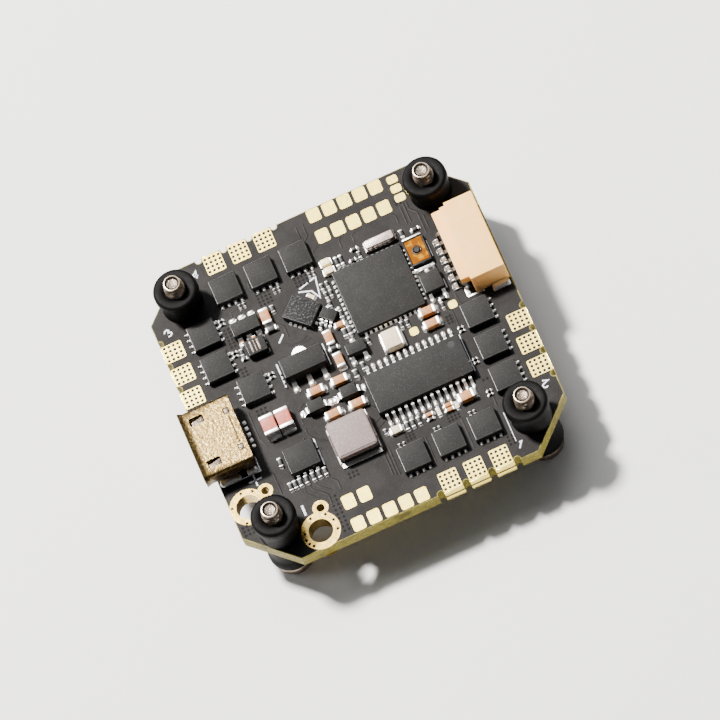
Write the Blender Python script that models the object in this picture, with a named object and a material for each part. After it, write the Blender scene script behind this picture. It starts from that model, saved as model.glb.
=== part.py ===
"""Flight controller board for a small quadcopter, with its rubber dampers and M2 screws.

The board lies flat: X runs towards the six-way socket, Y towards the double row of solder pads, and
+Z is the component side. The origin is the centre of the square mounting pattern, on the plane of the
screw heads' undersides. Sizes are in millimetres, and MM turns them into metres.
"""

import math

import bmesh
import bpy

MM = 0.001
GAP = 0.02  # solder film, or air, between two pieces that meet

# The circuit board and its mounting pattern
BOARD_SIDE = 32.7
BOARD_THICKNESS = 1.6
CORNER_CHAMFER = 4.35
HOLE_PITCH = 25.5
HOLE_RADIUS = 1.6
NOTCH_RADIUS = 0.3
NOTCH_DEPTH = 0.42

# Dampers and M2 x 10 screws
SCREW_HEAD_HEIGHT = 1.3
SCREW_HEAD_RADIUS = 1.9
SCREW_LENGTH = 10.0
SCREW_RADIUS = 0.98
DAMPER_REACH = 3.5  # how far a damper stands out on each side of the board
DAMPER_RADIUS = 2.15
DAMPER_WAIST = 1.9

BOARD_BOTTOM = SCREW_HEAD_HEIGHT + DAMPER_REACH
BOARD_TOP = BOARD_BOTTOM + BOARD_THICKNESS
SEAT = BOARD_TOP + GAP  # where a component's underside sits
HALF = BOARD_SIDE / 2

# Motor pads stand in groups of three along each edge, each pad between two small notches
MOTOR_PAD_PITCH = 2.58
MOTOR_GROUP_CENTRES = {"top": -5.95, "left": 5.98, "right": -5.83, "bottom": 6.0}

# Battery terminals: name, x, y and the radius of the plated hole
BATTERY_HOLES = [
    ("positive", -14.6, -9.33, 1.25),
    ("positive_sense", -12.6, -8.5, 0.44),
    ("negative", -9.35, -14.6, 1.22),
    ("negative_sense", -8.55, -12.45, 0.44),
]

# Power transistors: three in a row for each motor
MOSFET_SIZE = (2.72, 2.66, 0.8)
MOSFET_PITCH = 3.58
MOSFET_ROW_TOP = 12.1
MOSFET_COLUMN_LEFT = -12.1
MOSFET_COLUMN_RIGHT = 12.09
MOSFET_ROW_BOTTOM = -11.84

# Moulded packages: name, x, y, width, depth, height, degrees of turn about Z
MOULDED_CHIPS = [
    ("main_processor", 4.58, 5.5, 7.0, 7.0, 0.6, 0),
    ("display_overlay_chip", 4.78, -4.5, 9.7, 4.3, 1.05, 0),
    ("linear_regulator", -4.6, 1.47, 4.3, 2.1, 1.5, 0),
    ("power_switch", -8.2, 7.55, 2.8, 1.5, 1.05, 0),
    ("buck_converter", -8.25, -7.2, 3.1, 2.75, 0.9, 0),
    ("receiver_inverter", 9.4, 3.8, 2.05, 2.1, 0.9, 0),
    ("buzzer_transistor", 0.42, 0.78, 2.0, 1.25, 0.95, 0),
    ("gyro_regulator", -0.62, 5.25, 1.2, 1.6, 0.6, 45),
    ("input_diode", -5.15, -3.0, 1.7, 1.25, 0.95, 0),
    ("usb_diode", -1.8, -3.0, 1.7, 1.25, 0.95, 0),
]
GYRO = (-2.76, 6.58, 2.5, 3.0, 0.91, 45)
OSCILLATOR = (-8.0, 5.22, 2.0, 1.7, 0.95)

# Ceramic and metal chips: name, x, y, width, depth, height
CERAMIC_CHIPS = [
    ("bulk_capacitor_1", -9.82, -2.92, 1.4, 2.05, 1.25),
    ("bulk_capacitor_2", -8.3, -2.92, 1.4, 2.05, 1.25),
    ("chip_inductor", 3.82, 0.05, 2.0, 1.9, 1.0),
    ("crystal", 6.5, 10.08, 3.2, 1.2, 0.75),
    ("status_led_1", 1.04, 10.36, 1.2, 0.72, 0.55),
    ("status_led_2", 1.04, 9.43, 1.2, 0.72, 0.55),
]
INDUCTOR = (-3.13, -7.5, 4.3, 1.5)

# Micro USB socket
USB_FRONT = -17.3
USB_BACK = -12.25
USB_CENTRE_Y = -2.53
USB_WIDTH = 7.3
USB_HEIGHT = 2.55
USB_FLOOR_WIDTH = 5.3
USB_SHOULDER = 1.25  # where the sides begin to lean in
USB_WALL = 0.28
USB_WINDOW_WIDTH = 0.75
USB_WINDOWS = [
    # name, x, distance from the middle, length: one pair for the plug's latches, one pair of stampings
    ("latch", -15.8, 2.35, 1.4),
    ("stamp", -12.92, 2.0, 0.6),
]
USB_FLARE = 0.18

# Six-way socket, 1 mm pitch, with its mouth towards +X
SOCKET_FRONT = 16.2
SOCKET_BACK = 12.8
SOCKET_LEDGE_BACK = 11.9
SOCKET_CENTRE_Y = 5.4
SOCKET_WIDTH = 8.44
SOCKET_HEIGHT = 2.95
SOCKET_LEDGE_HEIGHT = 2.2
SOCKET_LEDGE_WIDTH = 7.6
SOCKET_LEDGE_CENTRE_Y = 5.7
SOCKET_WALL = 0.45
CONTACT_PITCH = 1.0
CONTACT_COUNT = 6
CONTACT_FIRST_Y = 2.52
CONTACT_WIDTH = 0.36
CONTACT_THICKNESS = 0.2

# Boot button
BUTTON_X, BUTTON_Y = 9.33, 7.42
BUTTON_CASE = (2.0, 3.05, 0.35)
BUTTON_COVER = (1.72, 2.5, 0.3)
BUTTON_PLUNGER_RADIUS = 0.34
BUTTON_PROUD = 0.12
BUTTON_DOME_RADIUS = 0.74
BUTTON_DOME_THICKNESS = 0.12
BUTTON_TRAVEL = 0.15

# Motor drive chips on the underside, one for each motor
DRIVE_CHIP_SIZE = (4.0, 4.0, 0.8)
DRIVE_CHIP_OFFSET = 6.5

CIRCLE_STEPS = 32
DAMPER_STEPS = 28
SMALL_STEPS = 24  # round a screw or a part of the button
NOTCH_STEPS = 8
DRILL_OVERRUN = 1.0

COLOURS = {
    "solder_mask": ((0.045, 0.043, 0.045), 0.55, 0.0),
    "moulding": ((0.07, 0.068, 0.066), 0.6, 0.0),
    "sensor_moulding": ((0.11, 0.11, 0.11), 0.5, 0.0),
    "rubber": ((0.012, 0.012, 0.012), 0.7, 0.0),
    "screw_steel": ((0.62, 0.6, 0.56), 0.3, 1.0),
    "gilt_shell": ((0.78, 0.62, 0.38), 0.32, 1.0),
    "contact_metal": ((0.8, 0.79, 0.76), 0.3, 1.0),
    "socket_nylon": ((0.86, 0.72, 0.54), 0.5, 0.0),
    "black_plastic": ((0.03, 0.03, 0.03), 0.5, 0.0),
    "amber_film": ((0.85, 0.4, 0.04), 0.25, 0.0),
    "pink_ceramic": ((0.62, 0.3, 0.24), 0.5, 0.0),
    "cream_ceramic": ((0.85, 0.76, 0.6), 0.45, 0.0),
    "crystal_lid": ((0.74, 0.68, 0.68), 0.3, 1.0),
    "inductor_grey": ((0.66, 0.57, 0.56), 0.45, 0.3),
}


def clear_scene():
    for obj in list(bpy.data.objects):
        bpy.data.objects.remove(obj, do_unlink=True)


def make_material(name):
    colour, roughness, metallic = COLOURS[name]
    material = bpy.data.materials.get(name) or bpy.data.materials.new(name)
    material.use_nodes = True
    shader = material.node_tree.nodes["Principled BSDF"]
    shader.inputs["Base Color"].default_value = (*colour, 1.0)
    shader.inputs["Roughness"].default_value = roughness
    shader.inputs["Metallic"].default_value = metallic
    return material


def add_object(name, shape, material, place=(0, 0, 0), turn=0.0, smooth=False):
    """Make the object NAME from a bmesh drawn in millimetres around its own origin."""
    bmesh.ops.scale(shape, vec=(MM, MM, MM), verts=shape.verts)
    bmesh.ops.recalc_face_normals(shape, faces=shape.faces)
    mesh = bpy.data.meshes.new(name)
    shape.to_mesh(mesh)
    shape.free()
    if smooth:
        mesh.shade_smooth()
        mesh.set_sharp_from_angle(angle=math.radians(40))
    mesh.materials.append(make_material(material))
    obj = bpy.data.objects.new(name, mesh)
    obj.location = [value * MM for value in place]
    obj.rotation_euler.z = math.radians(turn)
    bpy.context.scene.collection.objects.link(obj)
    return obj


def rectangle(width, depth, z, corner=0.0):
    """A rectangle's corners at height z, each cut off by a chamfer where corner isn't 0."""
    x, y = width / 2, depth / 2
    if not corner:
        return [(-x, -y, z), (x, -y, z), (x, y, z), (-x, y, z)]
    points = []
    for sx, sy in ((-1, -1), (1, -1), (1, 1), (-1, 1)):
        along_x = (sx * (x - corner), sy * y, z)
        along_y = (sx * x, sy * (y - corner), z)
        points += [along_y, along_x] if sx * sy > 0 else [along_x, along_y]
    return points


def circle(radius, z, steps=CIRCLE_STEPS):
    angles = [2 * math.pi * i / steps for i in range(steps)]
    return [(radius * math.cos(a), radius * math.sin(a), z) for a in angles]


def loft(loops, closed_ring=False):
    """A skin through loops of equal length: capped at both ends, or joined end to start."""
    shape = bmesh.new()
    rows = [[shape.verts.new(point) for point in loop] for loop in loops]
    count = len(rows[0])
    pairs = list(zip(rows, rows[1:]))
    if closed_ring:
        pairs.append((rows[-1], rows[0]))
    else:
        shape.faces.new(rows[0][::-1])
        shape.faces.new(rows[-1])
    for low, high in pairs:
        for i in range(count):
            j = (i + 1) % count
            shape.faces.new((low[i], low[j], high[j], high[i]))
    return shape


def block(width, depth, height, z=0.0):
    return loft([rectangle(width, depth, z), rectangle(width, depth, z + height)])


def prism_along_y(outline, width):
    """Extrude an outline of (x, z) points to the given width, centred on y = 0."""
    return loft([[(x, y, z) for x, z in outline] for y in (-width / 2, width / 2)])


def cut(obj, cutter):
    """Subtract the cutter, a helper that stays out of the model."""
    cutter.hide_render = True
    cutter.display_type = "WIRE"
    modifier = obj.modifiers.new("cut_" + cutter.name, "BOOLEAN")
    modifier.operation = "DIFFERENCE"
    modifier.solver = "EXACT"
    modifier.object = cutter


# ---------------------------------------------------------------- circuit board


def notch(x, y, inward):
    """One small round-ended bite at (x, y) on the edge, as points that follow the edge anticlockwise."""
    straight = NOTCH_DEPTH - NOTCH_RADIUS
    facing = math.atan2(inward[1], inward[0])
    points = []
    for step in range(NOTCH_STEPS + 1):
        angle = facing + math.pi / 2 - math.pi * step / NOTCH_STEPS
        across = x + NOTCH_RADIUS * math.cos(angle)
        along = y + NOTCH_RADIUS * math.sin(angle)
        points.append((across + inward[0] * straight, along + inward[1] * straight))
    mouth = [
        (px - inward[0] * straight, py - inward[1] * straight)
        for px, py in (points[0], points[-1])
    ]
    return [mouth[0], *points, mouth[1]]


def notch_places(centre):
    """Places along an edge: a notch at both ends of a pad group and between its pads."""
    return [centre + MOTOR_PAD_PITCH * step for step in (-1.5, -0.5, 0.5, 1.5)]


def board_outline():
    """The board's edge, anticlockwise from the bottom edge, with chamfered corners and notches."""
    short = HALF - CORNER_CHAMFER
    points = [(-short, -HALF)]
    for x in notch_places(MOTOR_GROUP_CENTRES["bottom"]):
        points += notch(x, -HALF, (0, 1))
    points += [(short, -HALF), (HALF, -short)]
    for y in notch_places(MOTOR_GROUP_CENTRES["right"]):
        points += notch(HALF, y, (-1, 0))
    points += [(HALF, short), (short, HALF)]
    for x in reversed(notch_places(MOTOR_GROUP_CENTRES["top"])):
        points += notch(x, HALF, (0, -1))
    points += [(-short, HALF), (-HALF, short)]
    for y in reversed(notch_places(MOTOR_GROUP_CENTRES["left"])[1:]):
        points += notch(-HALF, y, (1, 0))
    points += [(-HALF, -short)]
    return points


def make_circuit_board():
    outline = board_outline()
    levels = (BOARD_BOTTOM, BOARD_TOP)
    board = add_object(
        "circuit_board",
        loft([[(x, y, z) for x, y in outline] for z in levels]),
        "solder_mask",
    )
    holes = [(x, y, HOLE_RADIUS) for x, y in mounting_points()]
    holes += [(x, y, radius) for _, x, y, radius in BATTERY_HOLES]
    low, high = BOARD_BOTTOM - DRILL_OVERRUN, BOARD_TOP + DRILL_OVERRUN
    for number, (x, y, radius) in enumerate(holes, 1):
        drill = loft([circle(radius, low), circle(radius, high)])
        cutter = add_object(f"drill_{number}", drill, "solder_mask", (x, y, 0))
        cut(board, cutter)


def mounting_points():
    offset = HOLE_PITCH / 2
    return [(-offset, offset), (offset, offset), (offset, -offset), (-offset, -offset)]


# ---------------------------------------------------------------- dampers and screws


def damper_profile():
    """(radius, z) round a damper's section, from the bottom of its bore outwards and up."""
    low = SCREW_HEAD_HEIGHT + GAP
    high = BOARD_TOP + DAMPER_REACH
    bore = SCREW_RADIUS + GAP
    neck = HOLE_RADIUS - GAP
    rim = 0.35
    lip = 0.95
    lower = [
        (bore, low),
        (DAMPER_RADIUS - rim, low),
        (DAMPER_RADIUS, low + rim),
        (DAMPER_RADIUS, low + lip),
        (DAMPER_WAIST, low + lip + rim),
        (DAMPER_WAIST, BOARD_BOTTOM - rim),
        (DAMPER_WAIST + 0.12, BOARD_BOTTOM - GAP),
        (neck, BOARD_BOTTOM - GAP),
    ]
    upper = [
        (neck, BOARD_TOP + GAP),
        (DAMPER_WAIST + 0.12, BOARD_TOP + GAP),
        (DAMPER_WAIST, BOARD_TOP + rim),
        (DAMPER_WAIST, high - lip - rim),
        (DAMPER_RADIUS, high - lip),
        (DAMPER_RADIUS, high - rim),
        (DAMPER_RADIUS - rim, high),
        (bore, high),
    ]
    return lower + upper


def screw_profile():
    """(radius, z) up a screw's outer side, from the socket in its head to the cup at its tip."""
    tip = SCREW_HEAD_HEIGHT + SCREW_LENGTH
    socket = 0.65
    return [
        (socket, 0.75),
        (socket, 0.0),
        (SCREW_HEAD_RADIUS, 0.0),
        (SCREW_HEAD_RADIUS, 0.45),
        (SCREW_HEAD_RADIUS - 0.12, 0.85),
        (SCREW_HEAD_RADIUS - 0.5, SCREW_HEAD_HEIGHT),
        (SCREW_RADIUS, SCREW_HEAD_HEIGHT),
        (SCREW_RADIUS, tip - 0.7),
        (SCREW_RADIUS - 0.15, tip - 0.1),
        (SCREW_RADIUS - 0.2, tip),
        (SCREW_RADIUS - 0.3, tip),
        (SCREW_RADIUS - 0.42, tip - 0.25),
    ]


def make_dampers_and_screws():
    for number, (x, y) in enumerate(mounting_points(), 1):
        rings = [circle(radius, z, DAMPER_STEPS) for radius, z in damper_profile()]
        damper = loft(rings, closed_ring=True)
        add_object(f"damper_{number}", damper, "rubber", (x, y, 0), smooth=True)
        rings = [circle(radius, z, SMALL_STEPS) for radius, z in screw_profile()]
        screw = loft(rings)
        add_object(f"screw_{number}", screw, "screw_steel", (x, y, 0), smooth=True)


# ---------------------------------------------------------------- soldered chips


def moulded_body(width, depth, height, draft=0.09, corner=0.0):
    """An epoxy package: its sides lean in from the parting line both ways."""
    waist = height * 0.45
    return loft(
        [
            rectangle(width - draft, depth - draft, 0, corner),
            rectangle(width, depth, waist, corner),
            rectangle(width - 2 * draft, depth - 2 * draft, height, corner),
        ]
    )


def sawn_body(width, depth, height, corner=0.04):
    """A block with its vertical edges and its top edge just broken."""
    return loft(
        [
            rectangle(width, depth, 0, corner),
            rectangle(width, depth, height - corner, corner),
            rectangle(width - 2 * corner, depth - 2 * corner, height, corner),
        ]
    )


def make_mosfets():
    steps = (-1, 0, 1)
    top = [(-4.89 + MOSFET_PITCH * i, MOSFET_ROW_TOP) for i in steps]
    left = [(MOSFET_COLUMN_LEFT, 8.58), (MOSFET_COLUMN_LEFT, 5.0), (-9.76, 1.4)]
    right = [(MOSFET_COLUMN_RIGHT, -4.61 - MOSFET_PITCH * i) for i in steps]
    bottom = [(4.87 + MOSFET_PITCH * i, MOSFET_ROW_BOTTOM) for i in steps]
    groups = {"top": top, "left": left, "right": right, "bottom": bottom}
    for side, places in groups.items():
        for number, (x, y) in enumerate(places, 1):
            name = f"mosfet_{side}_{number}"
            add_object(name, sawn_body(*MOSFET_SIZE), "moulding", (x, y, SEAT))


def make_chips():
    for name, x, y, width, depth, height, turn in MOULDED_CHIPS:
        body = moulded_body(width, depth, height)
        add_object(name, body, "moulding", (x, y, SEAT), turn)
    x, y, width, depth, height, turn = GYRO
    body = sawn_body(width, depth, height)
    add_object("gyro_sensor", body, "sensor_moulding", (x, y, SEAT), turn)
    x, y, width, depth, height = OSCILLATOR
    body = sawn_body(width, depth, height)
    add_object("sensor_oscillator", body, "moulding", (x, y, SEAT))
    make_drive_chips()


def make_drive_chips():
    width, depth, height = DRIVE_CHIP_SIZE
    z = BOARD_BOTTOM - GAP - height
    signs = ((-1, 1), (1, 1), (1, -1), (-1, -1))
    for number, (sx, sy) in enumerate(signs, 1):
        place = (sx * DRIVE_CHIP_OFFSET, sy * DRIVE_CHIP_OFFSET, z)
        body = block(width, depth, height)
        add_object(f"motor_drive_chip_{number}", body, "moulding", place)


def make_ceramic_chips():
    materials = {
        "bulk_capacitor_1": "pink_ceramic",
        "bulk_capacitor_2": "pink_ceramic",
        "chip_inductor": "cream_ceramic",
        "crystal": "crystal_lid",
        "status_led_1": "cream_ceramic",
        "status_led_2": "cream_ceramic",
    }
    for name, x, y, width, depth, height in CERAMIC_CHIPS:
        body = sawn_body(width, depth, height, 0.06)
        add_object(name, body, materials[name], (x, y, SEAT))


def make_power_inductor():
    x, y, side, height = INDUCTOR
    corner = 0.55
    foot, body = 0.25, side - 0.3
    rings = [
        rectangle(side, side, 0, corner),
        rectangle(side, side, foot, corner),
        rectangle(body, body, foot, corner),
        rectangle(body, body, height - 0.15, corner),
        rectangle(body - 0.3, body - 0.3, height, corner),
    ]
    add_object("power_inductor", loft(rings), "inductor_grey", (x, y, SEAT))


# ---------------------------------------------------------------- micro USB socket


def usb_section(grow, x):
    """The socket shell's outline at one x, as (x, y, z) points, grown outwards by the given amount."""
    half_top = USB_WIDTH / 2 + grow
    half_floor = USB_FLOOR_WIDTH / 2 + grow * 0.7
    floor = GAP + USB_WALL / 2 - grow
    low = max(floor, 0.0)
    round_off = 0.45
    half = [
        (half_floor, low),
        (half_top, USB_SHOULDER - grow * 0.3),
        (half_top, USB_HEIGHT + grow - round_off),
        (half_top - round_off * 0.3, USB_HEIGHT + grow - round_off * 0.3),
        (half_top - round_off, USB_HEIGHT + grow),
    ]
    mirrored = [(-y, z) for y, z in reversed(half)]
    return [(x, y, z) for y, z in half + mirrored]


def make_usb_socket():
    lip = 0.45
    rings = [
        usb_section(0, USB_BACK),
        usb_section(0, USB_FRONT + lip),
        usb_section(USB_FLARE, USB_FRONT),
        usb_section(USB_FLARE - USB_WALL, USB_FRONT),
        usb_section(-USB_WALL, USB_FRONT + lip),
        usb_section(-USB_WALL, USB_BACK),
    ]
    place = (0, USB_CENTRE_Y, SEAT)
    shell = add_object("usb_shell", loft(rings, True), "gilt_shell", place)
    for side in (-1, 1):
        for label, x, across, length in USB_WINDOWS:
            levels = (USB_HEIGHT - 0.6, USB_HEIGHT + 1)
            window = loft([rectangle(length, USB_WINDOW_WIDTH, z) for z in levels])
            name = f"usb_{label}_window_{'left' if side < 0 else 'right'}"
            y = USB_CENTRE_Y + side * across
            cut(shell, add_object(name, window, "gilt_shell", (x, y, SEAT)))
    make_usb_tongue()


def make_usb_tongue():
    """The moulded insert: a block that fills the back of the shell and a tongue that carries contacts."""
    back = USB_BACK + 0.1
    wall = USB_BACK - 0.9
    tip = USB_FRONT + 1.3
    low = USB_WALL + 0.17
    high = USB_HEIGHT - USB_WALL - 0.05
    tongue_low, tongue_high = 1.3, 1.9
    outline = [
        (back, low),
        (back, high),
        (wall, high),
        (wall, tongue_high),
        (tip, tongue_high),
        (tip, tongue_low),
        (wall, tongue_low),
        (wall, low),
    ]
    insert = prism_along_y(outline, 3.6)
    add_object("usb_tongue", insert, "black_plastic", (0, USB_CENTRE_Y, SEAT))


# ---------------------------------------------------------------- six-way socket


def make_signal_socket():
    length = SOCKET_FRONT - SOCKET_BACK
    ledge = SOCKET_BACK - SOCKET_LEDGE_BACK
    housing = add_object(
        "socket_housing",
        block(length, SOCKET_WIDTH, SOCKET_HEIGHT),
        "socket_nylon",
        (SOCKET_BACK + length / 2, SOCKET_CENTRE_Y, SEAT),
    )
    overlap = 0.2
    shelf = add_object(
        "socket_shelf",
        block(ledge + overlap, SOCKET_LEDGE_WIDTH, SOCKET_LEDGE_HEIGHT),
        "socket_nylon",
        (SOCKET_LEDGE_BACK + (ledge + overlap) / 2, SOCKET_LEDGE_CENTRE_Y, SEAT),
    )
    join = housing.modifiers.new("join_shelf", "BOOLEAN")
    join.operation = "UNION"
    join.solver = "EXACT"
    join.object = shelf
    shelf.hide_render = True
    shelf.display_type = "WIRE"
    depth = length - 0.5
    cavity = add_object(
        "socket_cavity",
        block(depth + 1, SOCKET_WIDTH - 2 * SOCKET_WALL, SOCKET_HEIGHT - 2 * SOCKET_WALL, SOCKET_WALL),
        "socket_nylon",
        (SOCKET_FRONT - depth + (depth + 1) / 2, SOCKET_CENTRE_Y, SEAT),
    )
    cut(housing, cavity)
    for number in range(CONTACT_COUNT):
        make_contact(housing, number)
    make_anchor_tabs()


def contact_outline(grow=0.0):
    """A contact's (x, z) side view: a blade in the cavity and a tail bent down to the board."""
    blade = SOCKET_HEIGHT / 2
    tip = SOCKET_FRONT - 0.7
    rear = SOCKET_LEDGE_BACK - 0.12
    toe = SOCKET_LEDGE_BACK - 0.85
    thick = CONTACT_THICKNESS
    return [
        (tip, blade - grow),
        (tip, blade + thick + grow),
        (rear - 0.1, blade + thick + grow),
        (rear - 0.3 - grow, blade + thick - 0.1),
        (rear - 0.3 - grow, thick + 0.1),
        (toe, thick - grow * 0.5),
        (toe, 0.0 + grow),
        (rear - 0.15, 0.0 + grow),
        (rear - 0.08 + grow, 0.15),
        (rear - 0.08 + grow, blade - grow),
    ]


def make_contact(housing, number):
    y = CONTACT_FIRST_Y + CONTACT_PITCH * number
    shape = prism_along_y(contact_outline(), CONTACT_WIDTH)
    add_object(f"socket_contact_{number + 1}", shape, "contact_metal", (0, y, SEAT))
    reach = SOCKET_FRONT - SOCKET_LEDGE_BACK
    slot = block(reach, CONTACT_WIDTH + 2 * GAP, CONTACT_THICKNESS + 2 * GAP, SOCKET_HEIGHT / 2 - GAP)
    centre = SOCKET_LEDGE_BACK - 0.3 + reach / 2
    cut(housing, add_object(f"contact_slot_{number + 1}", slot, "contact_metal", (centre, y, SEAT)))


def make_anchor_tabs():
    """Two solder tabs, one beyond each end of the housing."""
    reach = SOCKET_WIDTH / 2 + GAP
    for label, side in (("near", -1), ("far", 1)):
        tab = block(1.45, 0.4, 0.3)
        y = SOCKET_CENTRE_Y + side * (reach + 0.2)
        add_object(f"socket_anchor_{label}", tab, "contact_metal", (15.2, y, SEAT))


# ---------------------------------------------------------------- boot button


def make_boot_button():
    width, depth, height = BUTTON_CASE
    case = add_object(
        "boot_button_case",
        sawn_body(width, depth, height),
        "black_plastic",
        (BUTTON_X, BUTTON_Y, SEAT),
    )
    cover_width, cover_depth, cover_height = BUTTON_COVER
    cover_z = SEAT + height + GAP
    cover = add_object(
        "boot_button_cover",
        sawn_body(cover_width, cover_depth, cover_height),
        "amber_film",
        (BUTTON_X, BUTTON_Y, cover_z),
    )
    dome_foot = cover_z - 2 * GAP - BUTTON_DOME_THICKNESS
    wells = (
        (case, "case_well", BUTTON_DOME_RADIUS + 0.04, dome_foot - BUTTON_TRAVEL - GAP),
        (cover, "cover_well", BUTTON_PLUNGER_RADIUS + 0.04, SEAT),
    )
    for owner, label, radius, floor in wells:
        well = loft([circle(radius, 0, SMALL_STEPS), circle(radius, 2, SMALL_STEPS)])
        cut(owner, add_object(label, well, "black_plastic", (BUTTON_X, BUTTON_Y, floor)))
    dome_top = dome_foot + BUTTON_DOME_THICKNESS
    make_snap_disc("boot_button_dome", BUTTON_DOME_RADIUS, dome_foot, dome_top, "contact_metal")
    cover_top = cover_z + cover_height
    make_snap_disc(
        "boot_button_plunger",
        BUTTON_PLUNGER_RADIUS,
        dome_top + GAP,
        cover_top + BUTTON_PROUD,
        "black_plastic",
    )


def make_snap_disc(name, radius, foot, top, material):
    """A round piece of the button that goes down with the press, its top edge broken."""
    edge = 0.2 * (top - foot)
    height = top - foot
    rings = [
        circle(radius, 0, SMALL_STEPS),
        circle(radius, height - edge, SMALL_STEPS),
        circle(radius - edge, height, SMALL_STEPS),
    ]
    add_object(name, loft(rings), material, (BUTTON_X, BUTTON_Y, foot), smooth=True)


def main():
    clear_scene()
    make_circuit_board()
    make_dampers_and_screws()
    make_mosfets()
    make_chips()
    make_ceramic_chips()
    make_power_inductor()
    make_usb_socket()
    make_signal_socket()
    make_boot_button()


main()
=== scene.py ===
"""Looks of the flight controller board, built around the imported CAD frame.

Shapes are drawn in millimetres in the part's own frame (X towards the six-way socket, Y towards the
double row of solder pads, Z up from the screw heads' undersides) and scaled to metres as they are made.
"""

import math
import random

import bmesh
import bpy
from mathutils import Matrix, Vector


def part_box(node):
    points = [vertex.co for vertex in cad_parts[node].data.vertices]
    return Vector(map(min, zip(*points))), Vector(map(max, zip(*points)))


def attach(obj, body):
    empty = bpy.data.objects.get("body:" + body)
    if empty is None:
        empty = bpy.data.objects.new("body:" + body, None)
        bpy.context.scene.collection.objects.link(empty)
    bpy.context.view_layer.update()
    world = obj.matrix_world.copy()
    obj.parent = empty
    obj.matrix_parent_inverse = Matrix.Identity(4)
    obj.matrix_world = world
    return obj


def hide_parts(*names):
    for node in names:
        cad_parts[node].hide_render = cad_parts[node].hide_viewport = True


MM = 0.001
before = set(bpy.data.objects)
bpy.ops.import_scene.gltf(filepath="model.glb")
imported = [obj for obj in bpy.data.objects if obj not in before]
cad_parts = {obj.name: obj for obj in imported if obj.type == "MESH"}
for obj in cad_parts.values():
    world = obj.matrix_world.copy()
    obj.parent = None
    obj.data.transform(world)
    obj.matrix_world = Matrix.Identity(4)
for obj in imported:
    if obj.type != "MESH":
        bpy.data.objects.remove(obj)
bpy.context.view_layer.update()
draw = random.Random(11)


def millimetres(node):
    """Lowest and highest corner of a CAD node, in millimetres."""
    low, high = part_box(node)
    return low / MM, high / MM


BOARD_LOW, BOARD_HIGH = millimetres("circuit_board")
BOTTOM = BOARD_LOW.z
TOP = BOARD_HIGH.z
HALF = BOARD_HIGH.x
FILM = 0.015  # solder mask over the laminate
COPPER = 0.035  # bare pads stand this high over the laminate
INK = 0.012
SEAT = TOP + 0.02  # the CAD's level for the underside of a component
TINNED = TOP + 0.016  # where tin starts, just over the mask; the same below the board
TINNED_BELOW = BOTTOM - 0.016
HOLE_OFFSET = 12.75
CORNERS = [(-1, 1), (1, 1), (1, -1), (-1, -1)]

# ------------------------------------------------------------------ camera, floor and light

VIEW_TARGET = Vector((0.3147, -0.2248, TOP)) * MM
VIEW_DISTANCE = 0.86919
VIEW_AZIMUTH = math.radians(2.836)
VIEW_ELEVATION = math.radians(63.444)
VIEW_ROLL = math.radians(-26.988)
LENS = 467.47


def direction(azimuth, elevation):
    """Unit vector from the object to a viewer; azimuth 0 is the viewer on -Y, 90 degrees is on +X."""
    flat = math.cos(elevation)
    return Vector((flat * math.sin(azimuth), -flat * math.cos(azimuth), math.sin(elevation)))


def make_camera():
    data = bpy.data.cameras.new("camera")
    data.lens = LENS
    data.sensor_width = 36.0
    data.clip_start = 0.01
    data.clip_end = 10.0
    camera = bpy.data.objects.new("camera", data)
    back = direction(VIEW_AZIMUTH, VIEW_ELEVATION)
    level = (-back).to_track_quat("-Z", "Y").to_matrix().to_4x4()
    camera.matrix_world = (
        Matrix.Translation(VIEW_TARGET + back * VIEW_DISTANCE)
        @ level
        @ Matrix.Rotation(VIEW_ROLL, 4, "Z")
    )
    bpy.context.scene.collection.objects.link(camera)
    bpy.context.scene.camera = camera


def add_area_light(name, towards, distance, size, power, colour=(1, 1, 1)):
    data = bpy.data.lights.new(name, "AREA")
    data.shape = "SQUARE"
    data.size = size
    data.energy = power
    data.color = colour
    light = bpy.data.objects.new(name, data)
    towards = Vector(towards).normalized()
    light.location = VIEW_TARGET + towards * distance
    light.rotation_euler = towards.to_track_quat("Z", "Y").to_euler()
    bpy.context.scene.collection.objects.link(light)


def make_studio():
    add_area_light("key", (-0.35, 0.50, 1.0), 0.7, 0.08, 21.0, (1.0, 0.97, 0.93))
    add_area_light("soft_top", (0.05, 0.55, 0.9), 0.8, 0.5, 3.0)
    add_area_light("front_fill", (0.5, -1.0, 0.55), 0.9, 0.5, 0.2, (0.96, 0.98, 1.0))
    add_area_light("side_fill", (1.0, 0.4, 0.4), 0.9, 0.4, 0.4)
    add_area_light("left_fill", (-0.8, 0.42, 0.46), 0.9, 0.35, 1.8)
    world = bpy.data.worlds.new("studio")
    world.use_nodes = True
    world.node_tree.nodes["Background"].inputs["Color"].default_value = (0.9, 0.92, 0.95, 1)
    world.node_tree.nodes["Background"].inputs["Strength"].default_value = 0.1
    bpy.context.scene.world = world
    shape = bmesh.new()
    bmesh.ops.create_grid(shape, x_segments=8, y_segments=8, size=0.6)
    bmesh.ops.translate(shape, verts=shape.verts, vec=(0, 0, -0.0002))
    mesh = bpy.data.meshes.new("floor")
    shape.to_mesh(mesh)
    shape.free()
    floor = bpy.data.objects.new("floor", mesh)
    bpy.context.scene.collection.objects.link(floor)
    mesh.materials.append(plain_material("floor_paper", (0.82, 0.82, 0.82), 0.9))


# ------------------------------------------------------------------ materials


def plain_material(name, colour, roughness, metallic=0.0):
    material = bpy.data.materials.new(name)
    material.use_nodes = True
    shader = material.node_tree.nodes["Principled BSDF"]
    shader.inputs["Base Color"].default_value = (*colour, 1)
    shader.inputs["Roughness"].default_value = roughness
    shader.inputs["Metallic"].default_value = metallic
    return material


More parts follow.
